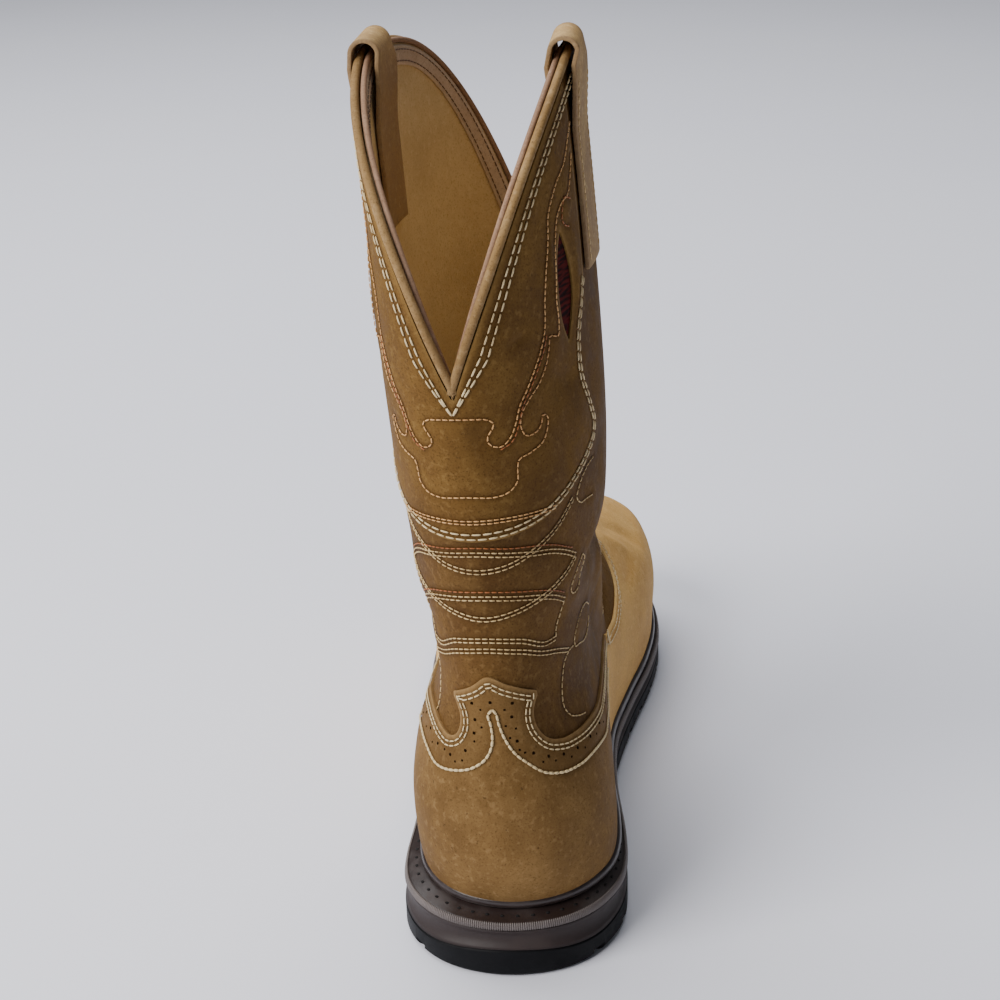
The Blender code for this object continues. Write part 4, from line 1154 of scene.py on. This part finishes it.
# Pull straps: a strip of leather folded over each ear and sewn down outside and inside.
# The fold stands clear of the collar, so that fingers can pass under it.
STRAP_THICK = 1.7
STRAP_LOOP = 3.7
STRAP_FOLD_Z = EAR_HEIGHT + 1.6
STRAP_LEG_TOP = EAR_HEIGHT - 3.0
STRAP_END_OUT = 249.0
STRAP_END_IN = 262.0
STRAP_ANGLE = 90.0
STRAP_HALF_ANGLE = 10.0
STRAP_SWELL = 24.0  # length over which a leg draws away from the wall
STRAP_STATIONS = np.linspace(-1, 1, 17)
LEG_ROWS = 28
FOLD_TURNS = np.linspace(0, np.pi, 20)[1:-1]
INNER_START = 0.55  # share of the strap's length where its darker inner leg begins
INNER_FADE = 0.12
SEAM_COLUMNS = (2, 14)
SEAM_ROWS = slice(1, 26)
SEAM_LIFT = 0.15
strap_leather = leather("strap_leather", (122, 100, 80), (186, 149, 94), (224, 195, 144), specks=0.2)


def strap_spine(side, lift):
    """Points on a strap's outer face, across it and from its outer end over the fold to its inner end."""
    angles = side * (STRAP_ANGLE + STRAP_HALF_ANGLE * STRAP_STATIONS)
    crown_at = np.array(side * STRAP_ANGLE)
    crown = upper_face(crown_at, STRAP_FOLD_Z) - 0.5 * WALL * upper_normal(crown_at, STRAP_FOLD_Z)
    close = 0.5 * WALL + GAP
    legs = []
    for end, sign in ((STRAP_END_OUT, 1.0), (STRAP_END_IN, -1.0)):
        leg = []
        for height in np.linspace(end, STRAP_LEG_TOP, LEG_ROWS):
            swell = np.clip((height - STRAP_LEG_TOP) / STRAP_SWELL + 1, 0, 1)
            off = close + (STRAP_LOOP - close) * swell * swell * (3 - 2 * swell) + STRAP_THICK + lift
            out = upper_normal(angles, height)
            leg.append(upper_face(angles, height) + (sign * off - 0.5 * WALL) * out)
        legs.append(leg)
    y = legs[0][-1][:, 1]
    radius = STRAP_LOOP + STRAP_THICK + lift
    fold = [np.stack([crown[0] + side * radius * np.cos(turn) + 0 * y, y,
                      STRAP_FOLD_Z + radius * np.sin(turn) + 0 * y], -1) for turn in FOLD_TURNS]
    return np.array(legs[0] + fold + legs[1][::-1])


for side, place in ((1.0, "medial"), (-1.0, "lateral")):
    spine = strap_spine(side, 0.0)
    across, along = spine.shape[1] - 1, len(spine) - 1
    skin, u, v = sheet(across, along)
    rubbed = np.abs(2 * u - 1) ** 8
    inner_leg = np.clip((v - INNER_START) / INNER_FADE, 0, 1)
    strip = put(skin, spine[nth(v, along), nth(u, across)], seam=np.maximum(rubbed, inner_leg))
    if side < 0:
        bmesh.ops.reverse_faces(strip, faces=strip.faces)
    strap = settle("strap_" + place, strip, strap_leather, "pull_strap_" + place)
    thicken(strap, STRAP_THICK - 0.2, 0.3)
    raised = strap_spine(side, SEAM_LIFT)[SEAM_ROWS]
    rows = []
    for column in SEAM_COLUMNS:
        width = raised[:, column + 1] - raised[:, column - 1]
        run = np.gradient(raised[:, column], axis=0)
        rows.append((raised[:, column], -side * unit(np.cross(run, width))))
    stitched("strap_stitches_" + place, rows, 2.5, pill(2.0, 0.55, 0.45), straw_thread, "strap_leather")

# Floor, light and camera: a pale floor under soft light from the left.
# The boot is seen from behind and above, as a camera held over its heel sees it.
FLOOR_SIZE = 8.0
EYE = Vector((0.0597, -0.6141, 0.4320))
YAW = np.radians(1.0)
PITCH = np.radians(23.5)
FOCAL = 1900.0  # in pixels of the 1000 by 1000 picture
AIM_PIXEL = (355.0, 492.0)
PICTURE = 1000
SENSOR = 36.0

floor_paint, shader, place = begin("floor_paint")
wire_in(shader, Base_Color=place.noise(3, 2, 0.5).mix((238, 239, 250), (243, 244, 254)), Roughness=0.7)
skin, u, v = sheet(8, 8)
put(skin, np.stack([u - 0.5, v - 0.5, 0 * u], -1) * FLOOR_SIZE / MM)
floor = linked("floor", as_mesh("floor", skin))
floor.data.materials.append(floor_paint)


def lamp(name, place, aim, size, power, tint):
    light = bpy.data.lights.new(name, "AREA")
    light.shape = "SQUARE"
    light.size = size
    light.energy = power
    light.color = tint
    made = linked(name, light)
    made.location = place
    made.rotation_euler = (Vector(aim) - Vector(place)).to_track_quat("-Z", "Y").to_euler()


lamp("window_light", (-1.3, -1.05, 1.4), (0, 0.05, 0.15), size=1.3, power=55.0, tint=(1.0, 0.98, 0.96))
lamp("ceiling_light", (-0.5, 0.9, 2.1), (-0.1, 0.5, 0.0), size=2.0, power=54.0, tint=(0.98, 0.99, 1.0))
world = bpy.data.worlds.new("room")
bpy.context.scene.world = world
world.use_nodes = True
walls = world.node_tree.nodes["Background"]
walls.inputs["Color"].default_value = (0.82, 0.84, 0.88, 1.0)
walls.inputs["Strength"].default_value = 0.14

forward = Vector((-np.sin(YAW) * np.cos(PITCH), np.cos(YAW) * np.cos(PITCH), -np.sin(PITCH)))
right = Vector((np.cos(YAW), np.sin(YAW), 0.0))
up = right.cross(forward)
aim = forward * FOCAL + right * (AIM_PIXEL[0] - PICTURE / 2) + up * (PICTURE / 2 - AIM_PIXEL[1])
basis = Matrix((right, up, -forward)).transposed()
turn = forward.rotation_difference(aim).to_matrix()
lens = bpy.data.cameras.new("camera")
lens.sensor_width = SENSOR
lens.lens = FOCAL * SENSOR / PICTURE
lens.clip_start = 0.01
camera = linked("camera", lens)
camera.matrix_world = Matrix.Translation(EYE) @ (turn @ basis).to_4x4()
bpy.context.scene.camera = camera

bpy.context.view_layer.update()
